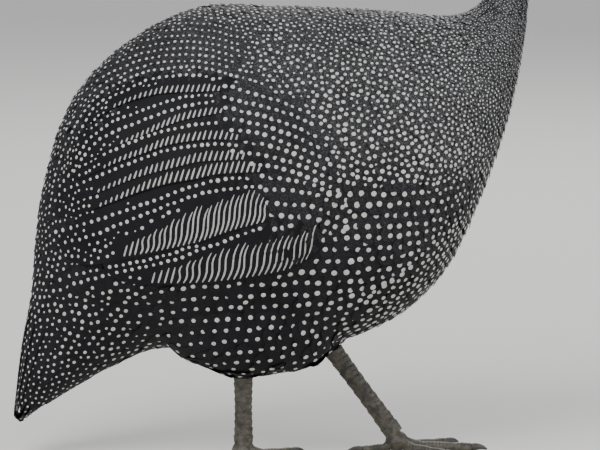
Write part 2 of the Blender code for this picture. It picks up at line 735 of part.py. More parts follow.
def bill_half(name, top_line, low_line, widths, finish, nostrils):
    """One half of the bill: sections between two lines, from its flat base to its tip."""
    rings = []
    for top, low, half in zip(top_line, low_line, widths):
        centre = head_point(((top[0] + low[0]) / 2, 0, (top[1] + low[1]) / 2))
        rise = Vector(((top[0] - low[0]) / 2, 0, (top[1] - low[1]) / 2))
        ring = []
        for index in range(BILL_SEGMENTS):
            angle = 2 * math.pi * (index + 0.5) / BILL_SEGMENTS
            flat = math.copysign(abs(math.cos(angle)) ** 0.8, math.cos(angle))
            ring.append(centre + rise * flat + Vector((0, half * math.sin(angle), 0)))
        rings.append(ring)
    made = loft(name, rings, finish)
    if nostrils:
        x, y, z = NOSTRIL
        pits = [
            ball(f"{name}_pit_{side}", head_point((x, side * y, z)), NOSTRIL_RADII, finish, 10, 8)
            for side in (-1, 1)
        ]
        combine(made, pits, "DIFFERENCE")
    return made


def casque(name, finish):
    rings = []
    for height, middle, half_long, half_wide in CASQUE_RINGS:
        ring = []
        for index in range(CASQUE_SEGMENTS):
            angle = 2 * math.pi * index / CASQUE_SEGMENTS
            keel = 1.0 - CASQUE_KEEL * math.cos(angle) ** 2
            ahead = half_long * math.cos(angle)
            aside = half_wide * keel * math.sin(angle)
            ring.append(head_point((middle + ahead, aside, height + CASQUE_LEAN * ahead)))
        rings.append(ring)
    made = loft(name, rings, finish)
    return combine(made, [head_cutter(name + "_crown", finish)], "DIFFERENCE")


def wattle(name, side, finish):
    """A fleshy flap that hangs from the mouth's corner, cupped and folded down its length."""
    rings = []
    for share, half_long, thick in WATTLE_RINGS:
        drop = WATTLE_LENGTH * share
        ring = []
        for index in range(WATTLE_SEGMENTS):
            angle = 2 * math.pi * index / WATTLE_SEGMENTS
            aside = math.cos(angle)
            fold = WATTLE_WAVE * math.sin(share * WATTLE_TURNS) * aside + WATTLE_CUP * aside**2 * share
            x = WATTLE_ROOT[0] - WATTLE_RAKE * drop + half_long * aside
            y = WATTLE_ROOT[1] + WATTLE_SPLAY * drop + fold + thick * math.sin(angle)
            ring.append(head_point((x, side * y, WATTLE_ROOT[2] - drop)))
        rings.append(ring)
    made = loft(name, rings, finish)
    return combine(made, [head_cutter(name + "_cheek", finish)], "DIFFERENCE")


def neck_upper(name, finish):
    """The bare neck, from the feathers' edge up into the head."""
    rows = [(x, z, depth, width) for (x, z), depth, width in NECK_TUBE]
    found = [smooth(rows, index / 2) for index in range(2 * len(rows) - 1)]
    centres = [Vector((x, 0, z)) for x, z, _, _ in found]
    halves = [(depth, width) for _, _, depth, width in found]
    rings = tube_rings(centres, halves, NECK_TUBE_SEGMENTS)
    xd, zd, xv, zv, _ = smooth(BODY.rows, NAPE_CUT)
    for point in rings[0]:
        share = (point.x - xd) / (xv - xd)
        point.z = zd + (zv - zd) * share + GAP
    made = loft(name, rings, finish)
    return combine(made, [head_cutter(name + "_head", finish)], "DIFFERENCE")


def main():
    clear_scene()
    feathers = material("plumage", PLUMAGE, 0.62)
    neck_feathers = material("neck_plumage", NECK_PLUMAGE, 0.66)
    skin = material("bare_skin", BARE_SKIN, 0.5)
    horn = material("casque_horn", HORN, 0.42)
    bill_horn = material("bill_horn", BILL_HORN, 0.38)
    red = material("wattle_skin", WATTLE_RED, 0.45)
    iris = material("eye_brown", EYE_BROWN, 0.08)
    trunk_node(
        "torso", BODY, TAIL_CUT, NECK_CUT, TORSO_RINGS, TORSO_SEGMENTS, feathers, (GAP / 2, -GAP / 2)
    )
    tail("tail", feathers)
    trunk_node(
        "neck_lower", BODY, NECK_CUT, NAPE_CUT, NECK_RINGS, NECK_SEGMENTS, neck_feathers, (GAP / 2, 0.0)
    )
    neck_upper("neck_upper", skin)
    wing("wing_R", -1, feathers)
    wing("wing_L", 1, feathers)
    head("head", skin)
    casque("casque", horn)
    bill_half("bill_upper", CULMEN, MOUTH_LINE, BILL_WIDTHS, bill_horn, True)
    bill_half("bill_lower", LOWER_MOUTH_LINE, JAW_LINE, JAW_WIDTHS, bill_horn, False)
    for label, side in (("R", -1), ("L", 1)):
        eye(f"eye_{label}", side, iris)
        wattle(f"wattle_{label}", side, red)
    leg("R", -1, RIGHT_HIP, RIGHT_HOCK, RIGHT_FOOT, RIGHT_THIGH)
    leg("L", 1, LEFT_HIP, LEFT_HOCK, LEFT_FOOT, LEFT_THIGH)


main()
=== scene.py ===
"""Dresses the guinea fowl's solids: skin, feathers, white spots and bars, head, legs, floor and light.

Lengths in the tables are millimetres in the solids' own frame: x forward, y to the bird's left, z up.
View points are pixels of the 600 x 450 view, and each is carried to the surface that lies there.
"""

import math
import random

import bmesh
import bpy
import numpy as np
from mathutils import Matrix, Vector
from mathutils.bvhtree import BVHTree
from mathutils.kdtree import KDTree
from mathutils.noise import fractal


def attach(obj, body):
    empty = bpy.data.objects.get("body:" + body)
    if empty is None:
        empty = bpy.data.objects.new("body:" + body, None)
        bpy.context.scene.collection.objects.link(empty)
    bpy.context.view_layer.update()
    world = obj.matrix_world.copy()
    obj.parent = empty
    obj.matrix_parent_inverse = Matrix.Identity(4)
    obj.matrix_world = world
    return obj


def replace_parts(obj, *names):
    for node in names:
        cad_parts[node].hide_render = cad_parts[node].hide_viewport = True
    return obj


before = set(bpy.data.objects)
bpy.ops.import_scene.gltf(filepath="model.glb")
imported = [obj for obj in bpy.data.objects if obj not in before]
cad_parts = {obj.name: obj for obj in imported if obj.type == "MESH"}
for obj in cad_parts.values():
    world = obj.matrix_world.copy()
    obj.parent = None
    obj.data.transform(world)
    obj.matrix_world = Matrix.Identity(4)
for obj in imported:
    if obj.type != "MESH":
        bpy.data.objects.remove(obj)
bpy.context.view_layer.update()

bl_info = {
    "name": "Guinea fowl model",
    "version": (1, 0, 0),
    "blender": (4, 5, 0),
    "location": "View3D > Sidebar > Guinea fowl",
    "description": "Dresses the solids of a guinea fowl with skin, feathers, spots, head and legs",
    "category": "Object",
}

MM = 0.001
SEED = 7
MADE = {}  # what later operators lay their pieces on: the form, the coat's vanes and the bars

# The camera, and the frame whose pixels the view points are given in.
VIEW_WIDTH, VIEW_HEIGHT = 600, 450
VIEW_PIXEL = 0.75  # millimetres at the bird
FOCAL = 6000.0
SENSOR = 36.0
AIM = Vector((4.5, 0.0, 177.2))
CAMERA_RISE, CAMERA_REACH = math.radians(8.0), 4500.0
EYE = AIM + Vector((0.0, -math.cos(CAMERA_RISE), math.sin(CAMERA_RISE))) * CAMERA_REACH

# The lie of the plumage: dorsal point (x, z), ventral point (x, z) and half width from tail to neck.
LIE_STATIONS = (
    (-211.5, 28, -203, 30, 15),
    (-206, 80, -171, 51, 25),
    (-197, 134, -136, 70, 34),
    (-190, 200, -104, 84, 49),
    (-169, 268, -66, 81, 64),
    (-129, 313, -30, 80, 74),
    (-73, 342, 8, 83, 80),
    (-20, 343, 48, 94, 81),
    (30, 341.5, 86, 114, 78),
    (72, 339, 118, 149, 69),
    (104, 335.5, 141, 200, 55),
    (124, 336.5, 157, 245, 41),
    (136, 343, 168, 290, 28),
    (144, 352, 174, 330, 18.5),
    (149.5, 372, 176.5, 370, 13.5),
)
LAST_STATION = len(LIE_STATIONS) - 1.0

# Spot sizes round the body: view x, view y, spacing and diameter in view pixels.
SPOT_SAMPLES = (
    (430, 60, 7.2, 3.0),
    (330, 20, 6.8, 2.6),
    (230, 22, 7.2, 3.0),
    (285, 60, 9.0, 3.8),
    (150, 45, 6.6, 2.8),
    (80, 120, 7.4, 3.1),
    (50, 220, 8.4, 3.1),
    (36, 350, 8.6, 3.2),
    (22, 395, 7.0, 2.6),
    (90, 310, 12.0, 4.4),
    (130, 345, 11.4, 4.4),
    (200, 310, 11.6, 5.2),
    (250, 350, 11.4, 5.2),
    (330, 285, 11.4, 6.2),
    (390, 240, 10.6, 6.0),
    (440, 235, 8.0, 4.8),
    (470, 185, 6.8, 3.6),
    (420, 170, 9.0, 4.8),
    (360, 150, 9.6, 4.8),
    (310, 110, 10.0, 4.6),
    (390, 100, 8.6, 4.1),
    (480, 100, 5.6, 2.4),
    (505, 60, 4.5, 1.6),
    (505, 20, 4.0, 1.1),
    (340, 200, 10.4, 5.6),
)
SPOT_SHRINK = 0.93  # times the diameter, for the spots between the rows

# How strongly the fine grey lines show: view x, view y and strength.
TONE_SAMPLES = (
    (505, 10, 1.0), (495, 50, 0.95), (440, 50, 0.75), (330, 50, 0.58), (240, 25, 0.42), (150, 60, 0.25),
    (480, 120, 0.70), (450, 190, 0.22), (380, 120, 0.45), (310, 150, 0.16), (200, 130, 0.06),
        (80, 180, 0.10),
    (400, 180, 0.16), (300, 300, 0.02), (120, 310, 0.03), (50, 350, 0.05), (400, 270, 0.05),
        (250, 200, 0.02),
)

# Wing bands: lower edge as view points from front to rear, then the height of the band.
BANDS = (
    (((218, 91.5), (194, 92.5), (162, 94), (131, 101.5), (108, 112), (88, 127)), 30),
    (((222, 113), (188, 119.5), (170, 125), (144, 135.5), (121, 144.5), (96, 158), (76, 172)), 52),
    (((240, 141), (207, 140), (170, 145), (143, 154), (117, 163), (98, 171.5), (68, 187)), 46),
    (((244, 160), (208, 161.5), (195, 163), (168, 169.5), (140, 177), (116, 186), (90, 196.5),
        (64, 208)), 42),
    (((262, 172.5), (219, 174.5), (194, 179.5), (168, 184), (143, 191), (117, 200.5), (92, 210),
        (60, 223)), 38),
    (((262, 223), (242, 228), (228, 232), (214, 237), (200, 242), (183, 246), (142, 256),
        (104, 263), (66, 269)), 74),
    (((310, 259), (290, 269), (264, 275), (240, 279), (213, 282), (180, 284), (146, 284), (108, 283)), 64),
)

# Bars of each band: foot of the row as view points from front to rear, heights at its two ends and middle,
# lean of a bar and spacing.
BAR_ROWS = (
    (((218, 91.5), (194, 92.5), (162, 94), (131, 101.5), (114, 108)), (5, 7.5, 4), 2.8, 5.4),
    (((220, 113.5), (188, 119.5), (170, 125), (144, 135.5), (121, 144.5)), (5, 8.5, 4), 3.2, 5.4),
    (((236, 140.5), (207, 140), (170, 145), (143, 154), (117, 163), (104, 169)), (6, 9, 4), 3.0, 5.4),
    (((242, 160), (208, 161.5), (195, 163), (168, 169.5), (140, 177), (116, 186), (98, 193)),
        (7, 10, 4), 3.2, 5.6),
    (((258, 172.5), (219, 174.5), (194, 179.5), (168, 184), (143, 191), (117, 200.5), (100, 207)),
        (7, 12, 4), 4.0, 5.6),
    (((262, 223), (242, 228), (228, 232), (214, 237), (200, 242), (183, 246), (150, 253),
        (124, 257)), (20, 36, 12), 9.0, 5.5),
    (((306, 260), (290, 269), (264, 275), (240, 279), (213, 282), (186, 283.5), (152, 283.5)),
        (38, 35, 10), 11.0, 6.4),
)

# Rows of spots on the wing and back, as view points from rear to front.
BACK_ROW = ((50, 206), (56, 172), (68, 140), (84, 112), (104, 90), (115, 84), (134, 76),
    (147, 71.5), (159, 69), (183, 67), (205, 68), (236, 76), (262, 84))
BACK_ROWS, BACK_ROW_STEP = 7, 6.3
SPOT_ROWS = (
    (BACK_ROW, 3.6),
    (((70, 150), (84, 124), (98, 104), (125, 90.5), (145, 81), (162, 76.8), (170, 76), (198, 75),
        (213, 79)), 3.8),
    (((76, 158), (88, 140), (104, 127), (114, 121), (136.5, 112.5), (157, 105), (176, 99.3),
        (196, 95.7), (212, 95.5)), 3.6),
    (((68, 176), (92, 146), (105, 136), (122, 128.5), (150, 117.4), (176, 108.7), (195, 104),
        (213, 101.5)), 3.9),
    (((60, 186), (72, 172), (86, 163), (107, 153), (125, 145), (143, 137.6), (168, 130),
        (195, 124.7), (216, 123)), 3.9),
    (((56, 200), (63, 191), (92, 178.6), (118, 168), (144, 157.6), (166, 150.6), (187, 146.5),
        (214, 144), (236, 145)), 3.9),
    (((54, 214), (62, 209), (85, 199), (97, 196)), 3.6),
    (((56, 232), (70, 228), (100, 219), (129, 209), (143, 204), (158, 199), (173, 193),
        (188, 187.5), (204, 183.4), (219, 180), (233, 178.5), (247, 178.6)), 4.15),
    (((58, 244), (90, 236), (120, 224), (146, 213.5), (158, 208.6), (173, 202.6), (181, 200),
        (197, 195.4), (213, 192), (229, 189), (245, 187), (260, 187)), 4.15),
    (((60, 290), (76, 283), (108, 275), (142, 267), (165, 262), (185, 256.5), (193, 252.5),
        (208, 246.6), (223, 242), (239, 235.5), (260, 229)), 4.15),
    (((70, 276), (100, 269), (142, 261), (170, 254), (186, 248.5), (196, 246)), 3.8),
    (((225, 85.5), (236, 88), (247, 92), (257, 95), (267, 97.5), (280, 101), (300, 110)), 4.6),
    (((224, 97), (237, 100), (243, 102), (267, 107.5), (290, 114), (312, 124)), 4.5),
    (((226, 107.5), (238, 110), (254, 114), (267, 117), (290, 125), (316, 136)), 4.5),
    (((226, 119), (240, 121), (262, 125), (288, 134), (318, 147)), 4.5),
    (((232, 130), (258, 133), (284, 142), (320, 157)), 4.6),
    (((246, 142), (262, 144), (286, 151), (324, 168)), 4.6),
    (((233, 151), (246, 153), (266, 156), (294, 163), (330, 178)), 4.6),
    (((252, 164), (274, 167), (300, 174), (338, 190)), 4.6),
    (((262, 176), (284, 179), (312, 185), (346, 200)), 4.9),
    (((266, 190), (290, 190), (316, 195), (350, 211)), 4.9),
    (((268, 203), (289, 204.8), (310.7, 206), (345, 221)), 4.9),
    (((272, 215), (290, 217), (314, 218), (344, 231)), 5.6),
)
ROW_SPACING = 1.78  # times the spot's diameter

# Spacing and diameter of the breast's spots, at these values of x across the view.
BREAST_X = (150, 200, 300, 370, 400, 440, 470)
BREAST_SPACING = (11.6, 11.4, 11.2, 11.0, 9.8, 7.4, 5.8)
BREAST_SIZE = (4.8, 5.0, 5.9, 6.0, 5.5, 4.3, 3.3)

# Rows of spots on the breast and belly, from rear to front.
BREAST_ROWS = (
    ((322, 194), (360, 194), (410, 193), (455, 188), (484, 178)),
    ((332, 205), (360, 204), (406, 204), (453, 198), (478, 189)),
    ((347, 217), (370, 215), (406, 214.5), (445, 209), (470, 200)),
    ((336, 229), (365, 227), (400, 226), (436, 220), (462, 210)),
    ((322, 241), (350, 238), (385, 237), (420, 233), (450, 224)),
    ((316, 251), (345, 249), (380, 248), (412, 244), (442, 234)),
    ((312, 262), (345, 260.5), (365, 259.5), (406, 255), (434, 245)),
    ((276, 278), (292, 273), (310, 272.5), (345, 271.5), (380, 269), (406, 264), (426, 254)),
    ((150, 292), (183, 288), (222, 286), (260, 284), (290, 284), (330, 282.5), (365, 280),
        (395, 273), (418, 263)),
    ((120, 304), (160, 302), (200, 299), (240, 297), (290, 295), (330, 293), (362, 289), (390, 281),
        (410, 271)),
    ((130, 316), (180, 311), (230, 308), (290, 306), (330, 302), (355, 297), (380, 289), (398, 279)),
    ((140, 328), (180, 322), (220, 319), (280, 317), (320, 312), (345, 306), (368, 298), (384, 288)),
    ((150, 338), (180, 334), (220, 331), (280, 327), (315, 322), (338, 316), (356, 308), (372, 298)),
    ((176, 346), (230, 342), (280, 338), (310, 332), (332, 325), (350, 314)),
    ((184, 357), (230, 353), (275, 349), (305, 342), (326, 333)),
    ((200, 367), (240, 363), (275, 359), (300, 351)),
)
BREAST_SHIFT = 1.1  # how far a spot strays from its row

# The part of the view where the rim of the wing is smoothed into the body.
RIM_ZONE = (
    (70, 110), (110, 76), (170, 52), (240, 50), (300, 80), (340, 130), (366, 190), (362, 240), (336, 272),
    (270, 300), (180, 306), (100, 304), (60, 286), (52, 220), (56, 150),
)

# The part of the view that the wing bands cover, where neither body feathers nor the plain pattern lie.
BAND_ZONE = (
    (206, 74), (212, 90), (216, 112), (230, 136), (236, 158), (254, 172), (256, 200), (260, 222),
    (298, 230), (300, 248), (262, 264), (213, 270), (146, 272), (112, 266), (86, 252), (80, 232),
    (84, 206), (92, 172), (106, 132), (124, 102), (152, 80),
)

PATCH = 0.0014  # half the side of one feather's or spot's patch on the unwrap
COAT_TOP, SPOT_TOP = 371.5, 370.0  # heights where the body feathers and their spots end on the neck
# Cells round a cell of a grid, and itself.
AROUND = [(x, y, z) for x in (-1, 0, 1) for y in (-1, 0, 1) for z in (-1, 0, 1)]
CROWDED, PUSH, HOLE = 0.496, 0.42, 0.86  # shares of the spacing: too close, one step apart, a gap
NEIGHBOURS, ROW_GAP, STRAY = 7, 0.90, 0.002  # neighbours that push, gap between rows, stray in radians
VANE_ROWS = np.array([0.0, 0.22, 0.45, 0.66, 0.82, 0.93, 1.0])
VANE_COLUMNS = np.array([-1.0, -0.55, 0.0, 0.55, 1.0])
BROAD_TIP = np.array([0.45, 0.80, 0.97, 1.0, 0.93, 0.72, 0.36])
LANCE_TIP = np.array([0.50, 0.92, 1.0, 0.86, 0.60, 0.34, 0.12])
# Length and half width of a feather, as multiples of the spacing, and its profile.
BROAD_VANE, LANCE_VANE = (2.5, 0.68, BROAD_TIP), (3.2, 0.50, LANCE_TIP)
FAINT_SHARE, FAINT = 0.25, 0.4  # how many of the nape's feathers show fainter grey lines, and how faint
VANE_LIFT = (-2.6, 0.5)  # height over the form at the root and at the tip
VANE_CAMBER = 0.10
VANE_SPREAD, VANE_SHIFT = 6.0, 0.12  # how far feathers stray from the lie in degrees, and in height
# Grid of one vane, lengthwise and across, and its thickness.
BAND_COLUMNS, BAND_ROWS, BAND_THICK = 44, 7, 0.5
BAND_AHEAD, BAND_BEYOND = 30, 8  # how far a band runs on past its edge's ends, in view pixels
BAND_TAPER, BAND_SHAFT = 0.84, 0.58  # where a band narrows lengthwise, and where its shaft lies across
TAIL_COLUMNS, TAIL_ROWS, TAIL_THICK = 22, 7, 0.45
# Pairs of tail feathers, angles of the first and last pair, half the angle of one, section of the roots.
TAIL_PAIRS, TAIL_TURNS, TAIL_HALF_TURN, TAIL_ROOT = 8, (6, 150), 17, 1.9
TAIL_CORE_END, TAIL_CORE_INSET, TAIL_CORE_CLOSE = 2.6, 0.8, 0.10
WING_TONE, TAIL_TONE = 0.0, 0.05  # how strongly the fine grey lines show there
# Rings of a bar, half its width, and half the width of its patch on the unwrap.
BAR_STEPS, BAR_HALF, BAR_PATCH = 7, 0.70, 0.0008
DOME_SIDES, DOME_SHOULDER = 9, 0.62
COVER_ABOVE, COVER_REACH = 9.0, 16.0  # where the ray to the vane under a spot starts, and its length
SPOT_TILT = 0.6  # how far a spot leans from the form towards its vane
ROW_CLEAR = 0.74  # times the spacing: how far other spots stay from the rows and bars

FLESH = ("torso", "neck_lower", "thigh_R", "thigh_L")
COATED = FLESH + ("wing_R", "wing_L")
REGION_NAMES = ("back", "breast", "belly", "rump", "vent", "nape")
NAPE = REGION_NAMES.index("nape")
SIDES = (("R", -1), ("L", 1))

HEAD_CENTRE = np.array((168.0, 0.0, 433.0))
NECK_FOOT, HEAD_SPAN = 365.0, 95.0
EYE_PLACE = np.array((4.5, 8.6, 4.2))
EYE_RADIUS = 4.6
# Rings of the casque: height over the head's centre, middle, half length and half width.
CASQUE_RINGS = (
    (6, -1, 11.5, 6.2), (15, -1.5, 10.8, 5.2), (22, -3.6, 8.6, 4.0),
    (29, -6.4, 5.8, 3.0), (35, -9.2, 3.4, 2.1), (38.5, -11.2, 1.2, 1.0),
)
LEGS = {"R": ((-38, -22, 67), (-38, -10, 11)), "L": ((29, 30, 78), (78, 30, 11))}
TOES = ("middle", "inner", "outer", "hind")
SCUTE, TOE_SCALE = 4.2, 2.7  # lengths of a scute on the shank and of a scale on a toe
FLOOR_GAP = 0.02
NOSTRIL = (26.5, 1.9)  # forward and up from the head's centre

CHEEK_PALE, SLATE_SKIN, WATTLE_ROOT = (0.46, 0.58, 0.64), (0.030, 0.042, 0.070), (0.25, 0.36, 0.48)
CLAW_HORN, NAPE_BLACK = (0.045, 0.04, 0.035), (0.006, 0.006, 0.008)
BILL_UPPER, BILL_UPPER_TIP = (0.36, 0.27, 0.19), (0.12, 0.09, 0.07)
BILL_LOWER, BILL_LOWER_TIP = (0.40, 0.32, 0.24), (0.14, 0.11, 0.09)
IRIS, PUPIL, EYE_RIM = (0.10, 0.040, 0.016), (0.002, 0.002, 0.002), (0.02, 0.012, 0.008)
FLOOR, SKY = (0.72, 0.70, 0.67), (0.86, 0.88, 0.92)

# Lamps: name, place in metres, size and power.
LAMPS = (
    ("key_light", (-0.9, -1.6, 1.7), 1.2, 42.0),
    ("fill_light", (1.6, -1.4, 1.0), 1.4, 16.0),
    ("back_light", (0.3, 1.8, 1.6), 1.2, 22.0),
)


def length(name, about, default):
    """The property of a length that a user may change."""
    return bpy.props.FloatProperty(
        name=name, description=about, default=default, unit="LENGTH", subtype="DISTANCE"
    )


def tint(name, about, default):
    """The property of a colour that a user may change."""
    return bpy.props.FloatVectorProperty(
        name=name, description=about, default=default, size=3, subtype="COLOR", min=0.0, max=1.0
    )


class GuineaSizes(bpy.types.PropertyGroup):
    """Sizes of the coat, which a user may change before running the operators"""

    form_voxel: length("Form voxel", "Cell size in which the solids of flesh are fused", 0.0024)
    coat_depth: length("Coat depth", "How far the skin lies under the tips of the coat", 0.0042)
    feather_spacing: bpy.props.FloatProperty(
        name="Feather spacing",
        description="Distance between body feathers, as a multiple of the distance between spots",
        default=1.6,
    )
    spot_height: length("Spot height", "Height of a spot's crown over the vane", 0.00018)


class GuineaFinishes(bpy.types.PropertyGroup):
    """Colours of the finishes, which a user may change before running the operators"""

    plumage: tint("Plumage", "Ground colour of the body feathers", (0.0034, 0.0033, 0.0046))
    vermiculation: tint("Vermiculation", "Fine grey lines between the spots", (0.17, 0.171, 0.175))
    spots: tint("Spots", "Colour of the white spots", (0.52, 0.52, 0.49))
    bars: tint("Bars", "Colour of the bars on the wing", (0.42, 0.42, 0.40))
    shank: tint("Shank", "Colour of the scaled legs", (0.066, 0.059, 0.044))
    bare_skin: tint("Bare skin", "Colour of the bare face and neck", (0.12, 0.25, 0.37))
    red_skin: tint("Red skin", "Colour of the wattles' tips and the cere", (0.38, 0.022, 0.02))
    horn: tint("Casque", "Colour of the bony casque", (0.150, 0.085, 0.042))


def unit(values):
    """The values cut off below 0 and above 1."""
    return np.clip(values, 0, 1)


def smooth(values, place):
    """The value at a place along a row of tuples, on a Catmull-Rom curve through them."""
    last = len(values) - 1
    index = min(max(int(math.floor(place)), 0), last - 1)
    share = place - index
    a, b = np.array(values[max(index - 1, 0)], float), np.array(values[index], float)
    c, d = np.array(values[index + 1], float), np.array(values[min(index + 2, last)], float)
    turn = 2 * a - 5 * b + 4 * c - d
    return 0.5 * (2 * b + (c - a) * share + turn * share**2 + (3 * b - a - 3 * c + d) * share**3)


def along_curve(points, count=None, step=None):
    """Points evenly spaced along a smooth curve through the given ones."""
    fine = np.array([smooth(points, place) for place in np.linspace(0, len(points) - 1, 24 * len(points))])
    run = np.concatenate([[0], np.cumsum(np.linalg.norm(np.diff(fine, axis=0), axis=1))])
    if count is None:
        count = max(2, int(round(run[-1] / step)) + 1)
    at = np.linspace(0, run[-1], count)
    return np.stack([np.interp(at, run, fine[:, axis]) for axis in range(fine.shape[1])], axis=1)


def view_axes(side):
    """The camera's right, up and forward; for the left side, the whole view is mirrored in y."""
    forward = (AIM - EYE).normalized()
    right = Vector((1.0, 0.0, 0.0))
    up = right.cross(forward)
    turned = [Vector((v.x, v.y * side, v.z)) for v in (right, up, forward)]
    return (*turned, Vector((EYE.x, EYE.y * side, EYE.z)))


def view_of(points):
    """The view points of an array of places; places on the left side are mirrored first."""
    right, up, forward, eye = view_axes(1)
    places = np.array(points, float)
    places[:, 1] = -np.abs(places[:, 1])
    offset = places - np.array(eye)
    depth = offset @ np.array(forward)
    x = VIEW_WIDTH / 2 + FOCAL * (offset @ np.array(right)) / depth
    y = VIEW_HEIGHT / 2 - FOCAL * (offset @ np.array(up)) / depth
    return np.stack([x, y], axis=1)


def inside(polygon, points):
    """Which of the view points lie inside the polygon."""
    found = np.zeros(len(points), bool)
    x, y = points[:, 0], points[:, 1]
    for (x0, y0), (x1, y1) in zip(polygon, polygon[1:] + polygon[:1]):
        crosses = (y0 > y) != (y1 > y)
        if y0 != y1:
            found ^= crosses & (x < x0 + (y - y0) / (y1 - y0) * (x1 - x0))
    return found


class Lie:
    """Which way the feathers point, from the sections that run between a dorsal and a ventral line."""

    SAG = 0.08

    def __init__(self):
        self.places = np.linspace(0, LAST_STATION, 701)
        rows = np.array([smooth(LIE_STATIONS, place) for place in self.places])
        self.centre = (rows[:, 0:2] + rows[:, 2:4]) / 2
        self.rise = (rows[:, 0:2] - rows[:, 2:4]) / 2
        self.half = rows[:, 4]

    def point(self, place, angle):
        """Points of the sections; angle 0 is dorsal and pi ventral, positive on the left."""
        place = np.asarray(place, float)
        cx, cz = (np.interp(place, self.places, self.centre[:, axis]) for axis in (0, 1))
        rx, rz = (np.interp(place, self.places, self.rise[:, axis]) for axis in (0, 1))
        half = np.interp(place, self.places, self.half)
        turn = np.cos(angle)
        aside = half * np.sin(angle) * (1 - self.SAG * turn)
        return np.stack([cx + rx * turn, aside, cz + rz * turn], axis=-1)

    def place_of(self, points):
        """The section and angle of each point, read from the side."""
        dx = points[:, None, 0] - self.centre[None, :, 0]
        dz = points[:, None, 2] - self.centre[None, :, 1]
        side = self.rise[None, :, 0] * dz - self.rise[None, :, 1] * dx
        turns = (side[:, 1:] > 0) != (side[:, :-1] > 0)
        away = np.where(turns, (dx**2 + dz**2)[:, 1:], 1e9)
        index = away.argmin(axis=1)
        ends = np.where(side[:, 0] > 0, 0, len(self.places) - 1)
        index = np.where(turns.any(axis=1), index, ends)
        rise = self.rise[index]
        row = np.arange(len(points))
        share = dx[row, index] * rise[:, 0] + dz[row, index] * rise[:, 1]
        share /= (rise**2).sum(axis=1)
        angle = np.arccos(np.clip(share, -0.995, 0.995))
        return self.places[index], angle * np.where(points[:, 1] < 0, -1, 1)

    def way(self, place, angle):
        """The direction in which a feather there points, towards the tail."""
        ahead = self.point(np.maximum(place - 0.12, 0), angle) - self.point(place + 0.12, angle)
        return ahead / np.linalg.norm(ahead, axis=1)[:, None]


LIE = Lie()


def wrap(turn, rise):
    """A place on an unwrap round an axis: the turn in radians, and the rise between 0 and 1."""
    return np.stack([0.02 + 0.96 * (turn / math.tau + 0.5), 0.02 + 0.96 * rise], axis=-1)


def unwrap(place, angle):
    """Where a place on the body lies on the unwrap of the skin, between 0 and 1."""
    return wrap(np.asarray(angle), np.asarray(place) / LAST_STATION)


class Surface:
    """A mesh in millimetres that places are carried to."""

    def __init__(self, points, polygons, normals=None):
        self.points = np.asarray(points, float)
        self.polygons = [tuple(int(i) for i in polygon) for polygon in polygons]
        self.normals = normals
        self.tree = BVHTree.FromPolygons([tuple(p) for p in self.points], self.polygons)

    @classmethod
    def of(cls, obj):
        """The surface of a mesh object."""
        mesh = obj.data
        count = len(mesh.vertices)
        points, normals = np.empty(count * 3, np.float32), np.empty(count * 3, np.float32)
        mesh.vertices.foreach_get("co", points)
        mesh.vertex_normals.foreach_get("vector", normals)
        polygons = [tuple(polygon.vertices) for polygon in mesh.polygons]
        return cls(points.reshape(-1, 3) / MM, polygons, normals.reshape(-1, 3))

    def blend(self, place, index):
        """The smooth normal at a place on a polygon."""
        corners = list(self.polygons[index])
        away = np.linalg.norm(self.points[corners] - np.array(place), axis=1) + 1e-3
        found = (self.normals[corners] / away[:, None]).sum(axis=0)
        return found / np.linalg.norm(found)

    def near(self, points):
        """The nearest places on the surface and their normals."""
        places, normals = np.empty((len(points), 3)), np.empty((len(points), 3))
        for row, point in enumerate(points):
            place, _, index, _ = self.tree.find_nearest(Vector(point))
            places[row], normals[row] = place, self.blend(place, index)
        return places, normals

    def cast(self, starts, ways, reach=1e4):
        """First hits of rays: places, normals that face the ray's start and whether each ray hit."""
        places, normals = np.zeros((len(starts), 3)), np.zeros((len(starts), 3))
        hit = np.zeros(len(starts), bool)
        for row, (start, way) in enumerate(zip(starts, ways)):
            place, normal, index, _ = self.tree.ray_cast(Vector(start), Vector(way), reach)
            if place is None:
                continue
            hit[row], places[row] = True, place
            normals[row] = normal if self.normals is None else self.blend(place, index)
            if np.dot(normals[row], way) > 0:
                normals[row] = -normals[row]
        return places, normals, hit

    def seen(self, view_points, side):
        """What the camera sees at the view points, or the mirrored camera for side 1."""
        right, up, forward, eye = view_axes(-side)
        offsets = np.asarray(view_points, float) - (VIEW_WIDTH / 2, VIEW_HEIGHT / 2)
        ways = np.array(forward) * FOCAL + offsets[:, :1] * np.array(right) - offsets[:, 1:] * np.array(up)
        ways /= np.linalg.norm(ways, axis=1)[:, None]
        places, normals, hit = self.cast([eye] * len(ways), ways)
        for row in np.flatnonzero(~hit):
            reach = (side * 60 - eye.y) / ways[row][1]
            place, _, index, _ = self.tree.find_nearest(Vector(np.array(eye) + ways[row] * reach))
            places[row] = place
            normals[row] = self.blend(place, index) if self.normals is not None else (0, side, 0)
        return places, normals, hit


def only(obj):
    """Deselects everything and makes one object the selected and active one."""
    bpy.ops.object.select_all(action="DESELECT")
    obj.select_set(True)
    bpy.context.view_layer.objects.active = obj


def apply(obj, kind, **settings):
    """Adds a modifier with these settings to an object and applies it."""
    only(obj)
    added = obj.modifiers.new(kind.title(), kind)
    for name, value in settings.items():
        setattr(added, name, value)
    bpy.ops.object.modifier_apply(modifier=added.name)


